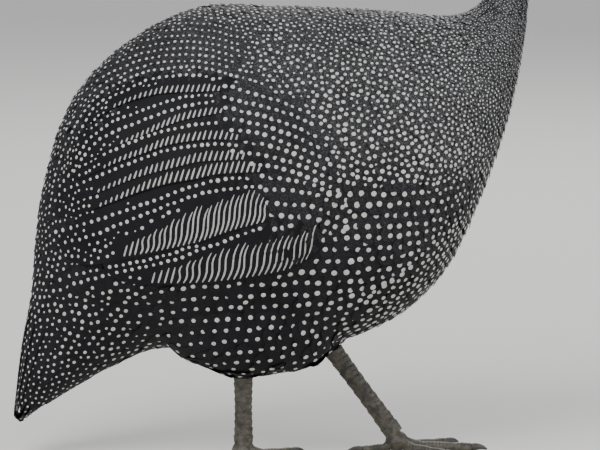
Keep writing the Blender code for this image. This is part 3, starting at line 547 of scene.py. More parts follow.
def make_piece(name, points, faces, finish, slot, bake=None, vane=None, smooth_angle=50, **masks):
    """A mesh piece that rides on the body; bake and vane are UVs, and masks values, for each vertex."""
    mesh = bpy.data.meshes.new(name)
    mesh.from_pydata((np.asarray(points) * MM).tolist(), [], faces)
    loops = np.empty(len(mesh.loops), np.int32)
    mesh.loops.foreach_get("vertex_index", loops)
    for label, values in (("OFBake", bake), ("vane", vane)):
        if values is not None:
            layer = mesh.uv_layers.new(name=label)
            layer.data.foreach_set("uv", np.asarray(values, np.float32)[loops].ravel())
    for label, values in masks.items():
        layer = mesh.attributes.new(label, "FLOAT", "POINT")
        layer.data.foreach_set("value", np.asarray(values, np.float32))
    mesh.shade_smooth()
    mesh.set_sharp_from_angle(angle=math.radians(smooth_angle))
    mesh.materials.append(finish)
    obj = bpy.data.objects.new(name, mesh)
    bpy.context.scene.collection.objects.link(obj)
    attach(obj, "root")
    return obj


def mesh_arrays(obj):
    """A mesh's vertices in millimetres, with their normals."""
    mesh = obj.data
    count = len(mesh.vertices) * 3
    points, normals = np.empty(count, np.float32), np.empty(count, np.float32)
    mesh.vertices.foreach_get("co", points)
    mesh.vertex_normals.foreach_get("vector", normals)
    return points.reshape(-1, 3).astype(float) / MM, normals.reshape(-1, 3).astype(float)


def outward_faces(obj):
    """Recalculates the normals of a piece made of closed shells."""
    made = bmesh.new()
    made.from_mesh(obj.data)
    bmesh.ops.recalc_face_normals(made, faces=made.faces)
    made.to_mesh(obj.data)
    made.free()


def fused(name, nodes, voxel, rounds, swell=0.0, others=()):
    """One closed surface round copies of the solids, smoothed over their facets."""
    copies = list(others)
    for node in nodes:
        copy = bpy.data.objects.new(name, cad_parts[node].data.copy())
        copy.data.materials.clear()
        bpy.context.scene.collection.objects.link(copy)
        copies.append(copy)
    only(copies[0])
    for copy in copies:
        copy.select_set(True)
    bpy.ops.object.join()
    made = bpy.context.view_layer.objects.active
    welded = bmesh.new()
    welded.from_mesh(made.data)
    bmesh.ops.remove_doubles(welded, verts=welded.verts, dist=0.02 * MM)
    welded.to_mesh(made.data)
    welded.free()
    if swell:
        apply(made, "DISPLACE", strength=swell, mid_level=0.0)
    apply(made, "REMESH", mode="VOXEL", voxel_size=voxel)
    apply(made, "SMOOTH", factor=0.5, iterations=rounds)
    return made


def fused_arrays(nodes, voxel, rounds, swell=0.0):
    """The vertices, normals and faces of the surface that fuses the solids."""
    shell = fused("shell", nodes, voxel, rounds, swell)
    points, normals = mesh_arrays(shell)
    faces = [tuple(polygon.vertices) for polygon in shell.data.polygons]
    bpy.data.objects.remove(shell)
    return points, normals, faces


def ease_rim(obj):
    """Smooths the form further where the wing's rim meets the body."""
    points, normals = mesh_arrays(obj)
    chosen = inside(RIM_ZONE, view_of(points)) & (np.abs(normals[:, 1]) > 0.25)
    group = obj.vertex_groups.new(name="rim")
    group.add([int(index) for index in np.flatnonzero(chosen)], 1.0, "REPLACE")
    apply(obj, "SMOOTH", factor=0.6, iterations=70, vertex_group="rim")


def tube_faces(rings, turns, base=0, caps=True):
    """The sides, and the caps, of a tube whose rings of vertices are numbered from base."""
    faces = []
    for start in range(base, base + (rings - 1) * turns, turns):
        for index in range(turns):
            after = (index + 1) % turns
            faces.append((start + index, start + after, start + turns + after, start + turns + index))
    if caps:
        faces.append(tuple(range(base + turns - 1, base - 1, -1)))
        faces.append(tuple(range(base + (rings - 1) * turns, base + rings * turns)))
    return faces


def shifted(faces, base):
    """The faces with their vertices numbered from base."""
    return [tuple(index + base for index in face) for face in faces]


def repeated(faces, size, count):
    """The faces of many copies of a shape with this number of vertices."""
    return [face for base in range(0, size * count, size) for face in shifted(faces, base)]


def joined(parts):
    """The points and the faces of several parts as one."""
    points, faces, base = [], [], 0
    for part, part_faces in parts:
        points.append(part)
        faces += shifted(part_faces, base)
        base += len(part)
    return np.concatenate(points), faces


def tail_core():
    """A closed shell through the sections of the tail, under its feathers."""
    rings, turns = 60, 56
    angles = np.linspace(-math.pi, math.pi, turns, endpoint=False)
    points = []
    for place in np.linspace(0.0, TAIL_CORE_END, rings):
        ring = LIE.point(np.full(turns, place), angles)
        middle = ring.mean(axis=0)
        away = np.linalg.norm(ring - middle, axis=1)[:, None]
        drawn = 1 - TAIL_CORE_INSET / np.maximum(away, TAIL_CORE_INSET)
        close = max(0.0, 1 - place / TAIL_CORE_CLOSE)
        points.append(middle + (ring - middle) * drawn * (1 - 0.93 * close**3))
    faces = []
    for a in range(0, (rings - 1) * turns, turns):
        for index in range(turns):
            after = (index + 1) % turns
            faces.append((a + index, a + turns + index, a + turns + after, a + after))
    faces.append(tuple(range(turns)))
    faces.append(tuple(range(rings * turns - 1, (rings - 1) * turns - 1, -1)))
    mesh = bpy.data.meshes.new("tail_core")
    mesh.from_pydata((np.concatenate(points) * MM).tolist(), [], faces)
    obj = bpy.data.objects.new("tail_core", mesh)
    bpy.context.scene.collection.objects.link(obj)
    outward_faces(obj)
    return obj


def sampled(samples, points, ease):
    """Values at places on the body, blended from samples by their distance in the view."""
    table = np.array(samples)
    away = ((view_of(points)[:, None, :] - table[None, :, :2]) ** 2).sum(axis=2) + ease
    weight = 1.0 / away**1.6
    return (weight[:, :, None] * table[None, :, 2:]).sum(axis=1) / weight.sum(axis=1)[:, None]


def rule_at(points):
    """Spot spacing and diameter, in millimetres, at places on the body."""
    found = sampled(SPOT_SAMPLES, points, 250.0)
    return found[:, 0] * VIEW_PIXEL, found[:, 1] * VIEW_PIXEL * SPOT_SHRINK


def lattice(surface, scale, seed):
    """Staggered rows of points over the body, spaced by the rule, carried to the surface."""
    draw = random.Random(seed)
    columns, rings = 720, 900
    angles = np.linspace(-math.pi, math.pi, columns, endpoint=False)
    run = np.zeros(columns)
    before = None
    chosen = []
    for ring in np.linspace(0.04, LAST_STATION - 0.02, rings):
        line = LIE.point(np.full(columns, ring), angles)
        if before is not None:
            spacing = rule_at(line)[0] * scale
            old = np.floor(run)
            run = run + np.linalg.norm(line - before, axis=1) / (spacing * ROW_GAP)
            fresh = np.floor(run) > old
            shift = np.cumsum(np.linalg.norm(np.roll(line, -1, axis=0) - line, axis=1) / spacing)
            shift = shift / shift[-1] * max(1, round(shift[-1]))
            phase = np.floor(shift + 0.5 * (np.floor(run) % 2))
            for column in np.flatnonzero(fresh & (phase != np.roll(phase, 1))):
                chosen.append((ring, angles[column] + draw.uniform(-STRAY, STRAY)))
        before = line
    place, angle = np.array(chosen).T
    places = LIE.point(place, angle)
    around = LIE.point(place, angle + 0.01) - LIE.point(place, angle - 0.01)
    out = np.cross(LIE.way(place, angle), around)
    out /= np.linalg.norm(out, axis=1)[:, None] + 1e-9
    centres = LIE.point(place, np.full(len(place), math.pi / 2)) * (1, 0, 1)
    out *= np.sign(((places - centres) * out).sum(axis=1))[:, None]
    hits, _, hit = surface.cast(places - out * 7.0, out, 60.0)
    return np.where(hit[:, None], hits, places)


def tree_of(points):
    """A tree that finds the nearest of the points."""
    tree = KDTree(len(points))
    for index, point in enumerate(points):
        tree.insert(Vector(point), index)
    tree.balance()
    return tree


def settle(surface, points, scale, rounds):
    """Moves points apart to an even spacing and drops those that crowd."""
    points, _ = surface.near(points)
    for turn in range(rounds):
        spacing = rule_at(points)[0] * scale
        tree = tree_of(points)
        moved = points.copy()
        keep = np.ones(len(points), bool)
        for index, point in enumerate(points):
            reach = spacing[index]
            push = np.zeros(3)
            for other, number, away in tree.find_n(Vector(point), NEIGHBOURS):
                if number == index or away >= reach:
                    continue
                if away < reach * CROWDED and number < index and keep[number] and turn == 1:
                    keep[index] = False
                push += (point - np.array(other)) / max(away, 1e-3) * (reach - away)
            most = np.linalg.norm(push)
            if most > 0:
                moved[index] = point + push * PUSH * min(1.0, 0.5 * reach / (PUSH * most))
        points, _ = surface.near(moved[keep])
    return points


def fill_holes(points, scale, candidates):
    """Adds candidates that are farther than their spacing from every point."""
    spacing = rule_at(candidates)[0] * scale * HOLE
    cell = float(spacing.max())
    grid = {}
    for point in points:
        grid.setdefault(tuple((point // cell).astype(int)), []).append(point)
    found = list(points)
    for candidate, limit in zip(candidates, spacing):
        x, y, z = (int(value) for value in candidate // cell)
        close = (point for dx, dy, dz in AROUND for point in grid.get((x + dx, y + dy, z + dz), ()))
        if all((candidate - point) @ (candidate - point) >= limit * limit for point in close):
            found.append(candidate)
            grid.setdefault((x, y, z), []).append(candidate)
    return np.array(found)


def spread(surface, scale, seed, draw, top, rounds):
    """Points all over the body below a height, evenly spaced by the rule times the scale."""
    points = settle(surface, lattice(surface, scale, seed), scale, 5)
    spare = surface.points[draw.permutation(len(surface.points))]
    points = fill_holes(points, scale, spare[spare[:, 2] < top])
    return settle(surface, points, scale, rounds)


def flattened(ways, normals):
    """The directions laid flat on the surface, at length 1."""
    flat = ways - normals * (ways * normals).sum(axis=1)[:, None]
    return flat / (np.linalg.norm(flat, axis=1)[:, None] + 1e-9)


def feather_batch(surface, roots, lengths, halves, profile, seed):
    """Closed vanes for many feathers at once: points, faces, bake UVs and vane UVs.

    A vane starts at its root, follows the lie over the surface and rises towards its tip.
    """
    draw = np.random.default_rng(seed)
    roots, normals = surface.near(roots)
    place, angle = LIE.place_of(roots)
    ways = LIE.way(place, angle)
    turn = np.radians(draw.normal(0, VANE_SPREAD, len(roots)))

    def bearing(normal):
        """Which way the vanes run on where the surface has these normals."""
        flat = flattened(ways, normal)
        return flat * np.cos(turn)[:, None] + np.cross(normal, flat) * np.sin(turn)[:, None]

    points = []
    centre, normal, done = roots.copy(), normals, 0.0
    for row, share in enumerate(VANE_ROWS):
        if row:
            step = (share - done) * lengths
            centre, normal = surface.near(centre + bearing(normal) * step[:, None])
            done = share
        aside = np.cross(normal, bearing(normal))
        height = VANE_LIFT[0] + (VANE_LIFT[1] - VANE_LIFT[0]) * share
        for column in VANE_COLUMNS:
            over = column * halves * profile[row]
            drop = VANE_CAMBER * halves * (column * profile[row]) ** 2
            points.append(centre + aside * over[:, None] + normal * (height - drop)[:, None])
    rows, columns, count = len(VANE_ROWS), len(VANE_COLUMNS), len(roots)
    grid = np.stack(points, axis=1)
    grid += draw.normal(0, VANE_SHIFT, (count, 1, 1)) * normals[:, None, :]
    faces = repeated(tube_faces(rows, columns), rows * columns, count)
    across, down = np.tile(VANE_COLUMNS, rows), np.repeat(VANE_ROWS, columns)
    patch = np.stack([across * PATCH, (down - 0.5) * 2 * PATCH], axis=1)
    bake = (unwrap(place, angle)[:, None, :] + patch[None, :, :]).reshape(-1, 2)
    vane = np.tile(np.stack([across * 0.5 + 0.5, down], axis=1), (count, 1))
    return grid.reshape(-1, 3), faces, bake, vane


def colour(value, factor=1.0):
    """A colour for a socket, made lighter or darker by the factor."""
    return (*(min(1.0, part * factor) for part in value), 1.0)


def add(tree, kind, sources, **settings):
    """A node with its settings, whose inputs are linked to sockets or set to values."""
    made = tree.nodes.new(f"ShaderNode{kind}")
    for name, value in settings.items():
        setattr(made, name, value)
    for name, value in sources.items():
        if isinstance(value, bpy.types.NodeSocket):
            tree.links.new(value, made.inputs[name])
        else:
            made.inputs[name].default_value = value
    return made


def effect(name, inputs, result, build):
    """A node group with named inputs and one output, built the first time it is asked for."""
    group = bpy.data.node_groups.get(name)
    if group is None:
        group = bpy.data.node_groups.new(name, "ShaderNodeTree")
        for label, kind in inputs:
            group.interface.new_socket(name=label, in_out="INPUT", socket_type=f"NodeSocket{kind}")
        group.interface.new_socket(name=result[0], in_out="OUTPUT", socket_type=f"NodeSocket{result[1]}")
        entry, end = group.nodes.new("NodeGroupInput"), group.nodes.new("NodeGroupOutput")
        group.links.new(build(group, entry.outputs), end.inputs[result[0]])
    return group


def mottle(tree, coords, scale, detail, roughness, stops, dark, light):
    """Clouds from a dark to a light colour."""

    def build(group, given):
        """Noise, cut off between two values, that mixes the colours."""
        cloud = add(group, "TexNoise", {label: given[label] for label, _ in inputs[:4]})
        share = add(group, "MapRange", {0: cloud.outputs["Fac"], 1: given["Low"], 2: given["High"]})
        ends = {0: share.outputs[0], 6: given["Dark"], 7: given["Light"]}
        return add(group, "Mix", ends, data_type="RGBA").outputs[2]

    numbers = [(label, "Float") for label in ("Scale", "Detail", "Roughness", "Low", "High")]
    inputs = [("Vector", "Vector"), *numbers, ("Dark", "Color"), ("Light", "Color")]
    group = effect("mottle", inputs, ("Color", "Color"), build)
    sources = {"Vector": coords, "Scale": scale, "Detail": detail, "Roughness": roughness}
    sources |= {"Low": stops[0], "High": stops[1], "Dark": dark, "Light": light}
    return add(tree, "Group", sources, node_tree=group).outputs["Color"]


def fine_relief(tree, coords, scale, distance):
    """Fine grain as a normal."""

    def build(group, given):
        """Noise that raises the surface."""
        sources = {"Vector": given["Vector"], "Scale": given["Scale"], "Detail": 3.0, "Roughness": 0.6}
        height = add(group, "TexNoise", sources).outputs["Fac"]
        sources = {"Strength": 0.4, "Distance": given["Distance"], "Height": height}
        return add(group, "Bump", sources).outputs["Normal"]

    inputs = (("Vector", "Vector"), ("Scale", "Float"), ("Distance", "Float"))
    group = effect("fine_relief", inputs, ("Normal", "Vector"), build)
    sources = {"Vector": coords, "Scale": scale, "Distance": distance}
    return add(tree, "Group", sources, node_tree=group).outputs["Normal"]


def new_material(name, roughness, specular=None):
    """A material with this roughness, its node tree and its shader."""
    made = bpy.data.materials.new(name)
    made.use_nodes = True
    tree = made.node_tree
    shader = tree.nodes["Principled BSDF"]
    shader.inputs["Roughness"].default_value = roughness
    if specular is not None:
        shader.inputs["Specular IOR Level"].default_value = specular
    return made, tree, shader


def object_coords(tree):
    """Places in the object's own frame."""
    return tree.nodes.new("ShaderNodeTexCoord").outputs["Object"]


def plumage_material():
    """Charcoal vanes with barbs, and fine grey lines where the tone mask is high."""
    made = bpy.data.materials.get("plumage_vane")
    if made is not None:
        return made
    finishes = bpy.context.scene.guinea_finishes
    made, tree, shader = new_material("plumage_vane", 0.62, 0.16)
    coords = object_coords(tree)
    ground = mottle(
        tree, coords, 55.0, 3.0, 0.5, (0.3, 0.75), colour(finishes.plumage), colour(finishes.plumage, 2.1)
    )
    fine = add(tree, "TexNoise", {"Vector": coords, "Scale": 900.0, "Detail": 2.0, "Roughness": 0.7})
    lines = add(tree, "MapRange", {0: fine.outputs["Fac"], 1: 0.50, 2: 0.60, 3: 0.14, 4: 0.92})
    tone = add(tree, "Attribute", {}, attribute_name="tone")
    strength = add(tree, "Math", {0: lines.outputs[0], 1: tone.outputs["Fac"]}, operation="MULTIPLY")
    grey = {0: strength.outputs[0], 6: ground, 7: colour(finishes.vermiculation)}
    mix = add(tree, "Mix", grey, data_type="RGBA")
    tree.links.new(mix.outputs[2], shader.inputs["Base Color"])
    uv = add(tree, "UVMap", {}, uv_map="vane")
    barbs = {"Vector": uv.outputs["UV"], "Scale": 9.0, "Distortion": 1.5}
    wave = add(tree, "TexWave", barbs, wave_type="BANDS", bands_direction="DIAGONAL")
    bump = add(tree, "Bump", {"Strength": 0.35, "Distance": 0.0002, "Height": wave.outputs["Fac"]})
    tree.links.new(bump.outputs["Normal"], shader.inputs["Normal"])
    return made


def spot_material(name, value, roughness):
    """A chalky finish in clouds, for spots, bars and hair."""
    made, tree, shader = new_material(name, roughness, 0.25)
    dark, light = colour(value, 0.72), colour(value)
    clouds = mottle(tree, object_coords(tree), 160.0, 2.0, 0.5, (0.25, 0.7), dark, light)
    tree.links.new(clouds, shader.inputs["Base Color"])
    return made


def mottled_material(name, base, roughness, scale=220.0, depth=0.35, distance=0.0002, masks=()):
    """A mottled finish with a fine grain, for skin, horn and scales, turned to other colours by masks."""
    made, tree, shader = new_material(name, roughness)
    coords = object_coords(tree)
    source = mottle(
        tree, coords, scale, 4.0, 0.6, (0.3, 0.7), colour(base, 1 - depth), colour(base, 1 + depth)
    )
    for label, value in masks:
        mask = add(tree, "Attribute", {}, attribute_name=label)
        mix = add(tree, "Mix", {0: mask.outputs["Fac"], 6: source, 7: value}, data_type="RGBA")
        source = mix.outputs[2]
    tree.links.new(source, shader.inputs["Base Color"])
    tree.links.new(fine_relief(tree, coords, scale * 6, distance), shader.inputs["Normal"])
    return made


class GUINEA_OT_skin(bpy.types.Operator):
    """Fuses the fleshy solids into one form and lays the skin under it"""

    bl_idname = "guinea.skin"
    bl_label = "Skin under the coat"

    def execute(self, context):
        sizes, finishes = context.scene.guinea_sizes, context.scene.guinea_finishes
        form = fused("form", COATED, sizes.form_voxel, 14, others=[tail_core()])
        ease_rim(form)
        surface = MADE["form"] = Surface.of(form)
        bpy.data.objects.remove(form)
        depth, reach = sizes.coat_depth / MM, 40.0
        moved = surface.points.copy()
        for index, (point, normal) in enumerate(zip(surface.points, surface.normals)):
            start = Vector(point - normal * 0.05)
            place, _, _, away = surface.tree.ray_cast(start, Vector(-normal), reach)
            moved[index] = point - normal * min(depth, 0.30 * (reach if place is None else away))
        finish = mottled_material("down_skin", [part * 1.4 for part in finishes.plumage], 0.8)
        bake = unwrap(*LIE.place_of(moved))
        skin = make_piece("body_skin", moved, surface.polygons, finish, "plumage", bake=bake)
        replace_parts(skin, *FLESH)
        return {"FINISHED"}


def region_of(points):
    """Which of the named regions each point lies in."""
    place, angle = LIE.place_of(points)
    seen = view_of(points)
    region = np.full(len(points), 2)
    region[(np.abs(angle) < 1.25) & (place > 5.0)] = 0
    region[(np.abs(angle) >= 1.25) & (place > 8.4)] = 1
    region[(place <= 5.0) & (np.abs(angle) < 1.5)] = 3
    region[seen[:, 1] > 300] = np.where(seen[seen[:, 1] > 300, 0] < 170, 4, 2)
    region[(points[:, 2] > 345) & (points[:, 0] > 120)] = NAPE
    return region


class GUINEA_OT_coat(bpy.types.Operator):
    """Lays the body feathers over the form, from the nape to the tail"""

    bl_idname = "guinea.coat"
    bl_label = "Body feathers"

    def execute(self, context):
        surface = MADE["form"]
        scale = context.scene.guinea_sizes.feather_spacing
        draw = np.random.default_rng(SEED)
        roots = spread(surface, scale, SEED, draw, COAT_TOP - 0.5, 3)
        place, angle = LIE.place_of(roots)
        bare = inside(BAND_ZONE, view_of(roots)) | ((place < 1.3) & (np.abs(angle) < 2.2))
        roots = roots[(roots[:, 2] < COAT_TOP) & ~bare]
        roots = roots[LIE.place_of(roots)[0].argsort()]
        spacing = rule_at(roots)[0] * scale
        region = region_of(roots)
        MADE["cover"] = []
        for number, label in enumerate(REGION_NAMES):
            chosen = region == number
            lance = number == NAPE
            stretch, broad, profile = LANCE_VANE if lance else BROAD_VANE
            here, apart = roots[chosen], spacing[chosen]
            points, faces, bake, vane = feather_batch(
                surface, here, apart * stretch, apart * broad, profile, SEED + number
            )
            strength = sampled(TONE_SAMPLES, here, 300.0)[:, 0]
            if lance:
                strength *= np.where(draw.random(len(strength)) < FAINT_SHARE, FAINT, 1.0)
            make_piece(
                f"feathers_{label}", points, faces, plumage_material(),
                "neck_plumage" if lance else "plumage",
                bake=bake, vane=vane, tone=np.repeat(strength, len(points) // len(strength)),
            )
            MADE["cover"].append((points, faces))
        return {"FINISHED"}


def band_grid(surface, band, side):
    """The vane of one wing band as a grid of places and normals: columns run rearward, rows downward."""
    edge, height = band
    start, after = np.array(edge[0], float), np.array(edge[1], float)
    ahead = start + (start - after) / np.linalg.norm(start - after) * BAND_AHEAD
    last, before = np.array(edge[-1], float), np.array(edge[-2], float)
    beyond = last + (last - before) / np.linalg.norm(last - before) * BAND_BEYOND
    line = along_curve([tuple(ahead), *edge, tuple(beyond)], count=BAND_COLUMNS)
    share = np.linspace(0, 1, BAND_COLUMNS)
    rear = (share - BAND_TAPER) / (1 - BAND_TAPER)
    taper = np.where(rear > 0, np.sqrt(np.clip(1 - rear**2, 0.004, 1)), 1.0)
    taper *= 1 - 0.45 * unit((0.10 - share) / 0.10)
    shaft = line[:, 1] - (1 - BAND_SHAFT) * height
    rows = [
        np.stack([line[:, 0], shaft + (step - BAND_SHAFT) * height * taper], axis=1)
        for step in np.linspace(0, 1, BAND_ROWS)
    ]
    places = surface.seen(np.stack(rows, axis=1).reshape(-1, 2), side)[0]
    places, normals = surface.near(places)
    shape = (BAND_COLUMNS, BAND_ROWS, 3)
    return places.reshape(shape), normals.reshape(shape)


def sheet(grid, normals, lift, thick, outward, root):
    """A closed thin vane whose upper face lies at lift over a grid: part, bake UVs and vane UVs."""
    columns, rows = grid.shape[:2]
    top = grid + normals * lift[..., None]
    low = top - normals * thick
    points = np.concatenate([top.reshape(-1, 3), low.reshape(-1, 3)])
    under = columns * rows
    faces = []
    for column in range(columns - 1):
        for row in range(rows - 1):
            a = column * rows + row
            faces.append((a, a + 1, a + rows + 1, a + rows))
            faces.append((a + under, a + rows + under, a + rows + 1 + under, a + 1 + under))
    rim = [column * rows for column in range(columns)]
    rim += [(columns - 1) * rows + row for row in range(1, rows)]
    rim += [column * rows + rows - 1 for column in range(columns - 2, -1, -1)]
    rim += [row for row in range(rows - 2, 0, -1)]
    for a, b in zip(rim, rim[1:] + rim[:1]):
        faces.append((a, b, b + under, a + under))
    a, b, c = points[list(faces[0][:3])]
    if np.dot(np.cross(b - a, c - a), outward) < 0:
        faces = [tuple(reversed(face)) for face in faces]
    along = np.repeat(np.linspace(-1, 1, columns), rows)
    across = np.tile(np.linspace(-1, 1, rows), columns)
    bake = np.tile(root + np.stack([along, across], axis=1) * PATCH, (2, 1))
    vane = np.tile(np.stack([across * 0.5 + 0.5, along * 2.5 + 0.5], axis=1), (2, 1))
    return (points, faces), bake, vane


def make_vanes(name, sheets, tone):
    """A piece of several sheets, which the spots and bars are then laid on."""
    parts, bakes, vanes = zip(*sheets)
    points, faces = joined(parts)
    piece = make_piece(
        name, points, faces, plumage_material(), "plumage",
        bake=np.concatenate(bakes), vane=np.concatenate(vanes), tone=np.full(len(points), tone),
    )
    MADE["cover"].append((points, faces))
    return piece


class GUINEA_OT_wings(bpy.types.Operator):
    """Lays the long feathers of each folded wing as bands that overlap downwards"""

    bl_idname = "guinea.wings"
    bl_label = "Wing feathers"

    def execute(self, context):
        down = np.linspace(0, 1, BAND_ROWS)[None, :]
        along = np.linspace(0, 1, BAND_COLUMNS)[:, None]
        rear = unit((along - 0.75) / 0.25)
        lift = -1.2 + 0.9 * rear + (2.3 - 1.35 * rear) * down**0.7
        lift -= 2.4 * unit((0.22 - along) / 0.22) ** 1.5
        for label, side in SIDES:
            sheets = []
            for band in BANDS:
                grid, normals = band_grid(MADE["form"], band, side)
                root = unwrap(*LIE.place_of(grid[2, 3][None]))[0]
                sheets.append(sheet(grid, normals, lift, BAND_THICK, normals[0, 0], root))
            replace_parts(make_vanes(f"wing_feathers_{label}", sheets, WING_TONE), f"wing_{label}")
        return {"FINISHED"}


class GUINEA_OT_tail(bpy.types.Operator):
    """Lays the tail feathers in overlapping pairs down to the tip"""

    bl_idname = "guinea.tail"
    bl_label = "Tail feathers"

    def execute(self, context):
        draw = np.random.default_rng(SEED + 3)
        along = np.linspace(0, 1, TAIL_COLUMNS)[:, None]
        across = np.linspace(-1, 1, TAIL_ROWS)[None, :]
        width = np.interp(along, [0, 0.3, 0.6, 0.85, 0.95, 1.0], [0.6, 0.95, 1.0, 0.90, 0.62, 0.18])
        lift = 0.75 + 0.65 * across - 3.2 * unit(1 - along / 0.30) ** 1.5
        shape = (TAIL_COLUMNS, TAIL_ROWS, 3)
        sheets = []
        for pair in range(TAIL_PAIRS):
            share = pair / (TAIL_PAIRS - 1)
            turn = math.radians(TAIL_TURNS[0] + (TAIL_TURNS[1] - TAIL_TURNS[0]) * share)
            for side in (1, -1):
                end = 0.55 * share**1.3 + 0.05 + draw.uniform(0, 0.04)
                half = math.radians(TAIL_HALF_TURN) * draw.uniform(0.96, 1.04)
                place = TAIL_ROOT + (end - TAIL_ROOT) * along + 0 * across
                angle = np.maximum(turn + across * width * half, 0.0)
                flat = LIE.point(place, angle * side).reshape(-1, 3)
                grid, normals = (values.reshape(shape) for values in MADE["form"].near(flat))
                middle = normals[TAIL_COLUMNS // 2, TAIL_ROWS // 2]
                root = unwrap(TAIL_ROOT, turn * side)
                sheets.append(sheet(grid, normals, lift, TAIL_THICK, middle, root))
        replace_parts(make_vanes("tail_feathers", sheets, TAIL_TONE), "tail")
        return {"FINISHED"}


def domes(places, normals, ways, radii, stretch, height):
    """Low closed domes on the vanes: points, faces and bake UVs."""
    flat = flattened(ways, normals)
    aside = np.cross(normals, flat)
    turns = [math.tau * index / DOME_SIDES for index in range(DOME_SIDES)]
    rings = []
    for share, rise in ((1.0, -0.05), (DOME_SHOULDER, height * 0.8)):
        for turn in turns:
            reach = flat * (math.cos(turn) * radii * stretch * share)[:, None]
            reach += aside * (math.sin(turn) * radii * share)[:, None]
            rings.append(places + reach + normals * rise)
    rings += [places + normals * height, places - normals * 0.35]
    crown, foot = 2 * DOME_SIDES, 2 * DOME_SIDES + 1
    one = []
    for index in range(DOME_SIDES):
        after = (index + 1) % DOME_SIDES
        one.append((index, after, DOME_SIDES + after, DOME_SIDES + index))
        one.append((DOME_SIDES + index, DOME_SIDES + after, crown))
        one.append((after, index, foot))
    ring = np.stack([np.cos(turns), np.sin(turns)], axis=1)
    patch = np.concatenate([ring, ring * DOME_SHOULDER, np.zeros((2, 2))]) * PATCH
    bake = (unwrap(*LIE.place_of(places))[:, None, :] + patch[None]).reshape(-1, 2)
    return np.stack(rings, axis=1).reshape(-1, 3), repeated(one, foot + 1, len(places)), bake


def row_spots():
    """View points and diameters of the spots that lie in rows on the wing, back and breast."""
    view, widths = [], []
    draw = np.random.default_rng(SEED + 51)
    for row in BREAST_ROWS:
        fine = along_curve(row, step=0.5)
        spacing = np.interp(fine[:, 0], BREAST_X, BREAST_SPACING)
        run = np.cumsum(0.5 / spacing) + draw.uniform(0, 1)
        chosen = np.flatnonzero(np.floor(run[1:]) > np.floor(run[:-1]))
        line = fine[chosen] + draw.uniform(-BREAST_SHIFT, BREAST_SHIFT, (len(chosen), 2))
        view.append(line)
        size = np.interp(line[:, 0], BREAST_X, BREAST_SIZE)
        widths += list(size * (1 - 0.12 * unit((line[:, 1] - 290) / 40)))
    for row, width in SPOT_ROWS:
        line = along_curve(row, step=ROW_SPACING * width)
        view.append(line)
        widths += [width] * len(line)
    fine = along_curve(BACK_ROW, step=1.0)
    slope = np.gradient(fine, axis=0)
    out = np.stack([slope[:, 1], -slope[:, 0]], axis=1) / np.linalg.norm(slope, axis=1)[:, None]
    for number in range(1, BACK_ROWS + 1):
        width = 3.3 - 0.09 * number
        row = (fine + out * BACK_ROW_STEP * number)[::16]
        line = along_curve([tuple(point) for point in row], step=2.15 * width)
        line = line[: int(len(line) * 0.93)]
        if number % 2:
            line = (line[1:] + line[:-1]) / 2
        view.append(line)
        widths += [width] * len(line)
    return np.concatenate(view), np.array(widths)


class GUINEA_OT_spots(bpy.types.Operator):
    """Sets the white spots on the feathers, in rows that follow the lie"""

    bl_idname = "guinea.spots"
    bl_label = "White spots"

    def execute(self, context):
        surface, cover = MADE["form"], MADE["cover_surface"]
        height = context.scene.guinea_sizes.spot_height / MM
        white = spot_material("spot_white", context.scene.guinea_finishes.spots, 0.62)
        draw = np.random.default_rng(SEED + 21)

        def make_spots(name, places, normals, radii, stretch):
            """A piece of spots with these radii, drawn out along the lie."""
            ways = LIE.way(*LIE.place_of(places))
            points, faces, bake = domes(places, normals, ways, radii, stretch, height)
            make_piece(name, points, faces, white, "plumage", bake=bake, smooth_angle=75)

        taken = []
        rows, widths = row_spots()
        for label, side in SIDES:
            places, normals, hit = cover.seen(rows + draw.normal(0, 0.30, rows.shape), side)
            keep = hit & (np.abs(normals[:, 1]) > 0.42)
            places, normals = places[keep], normals[keep]
            radii = widths[keep] * VIEW_PIXEL / 2 * draw.uniform(0.84, 1.12, len(places))
            make_spots(f"wing_spots_{label}", places, normals, radii, 1.05)
            taken.append(places)
        spots = spread(surface, 1.0, SEED + 20, draw, SPOT_TOP - 4.0, 8)
        spots = spots[spots[:, 2] < SPOT_TOP]
        tree = tree_of(np.concatenate(taken + MADE["bars"]))
        apart = np.array([tree.find(Vector(point))[2] for point in spots])
        spots = spots[apart > rule_at(spots)[0] * ROW_CLEAR]
        spots, normals = surface.near(spots)
        places, over, hit = cover.cast(spots + normals * COVER_ABOVE, -normals, COVER_REACH)
        places, over, normals = places[hit], over[hit], normals[hit]
        tilt = over * SPOT_TILT + normals * (1 - SPOT_TILT)
        tilt /= np.linalg.norm(tilt, axis=1)[:, None]
        radii = rule_at(places)[1] / 2 * draw.uniform(0.82, 1.10, len(places))
        radii *= np.where(draw.random(len(places)) < 0.16, draw.uniform(0.5, 0.8, len(places)), 1.0)
        region = region_of(places)
        for number, label in enumerate(REGION_NAMES):
            chosen = region == number
            make_spots(f"spots_{label}", places[chosen], tilt[chosen], radii[chosen], 1.12)
        return {"FINISHED"}


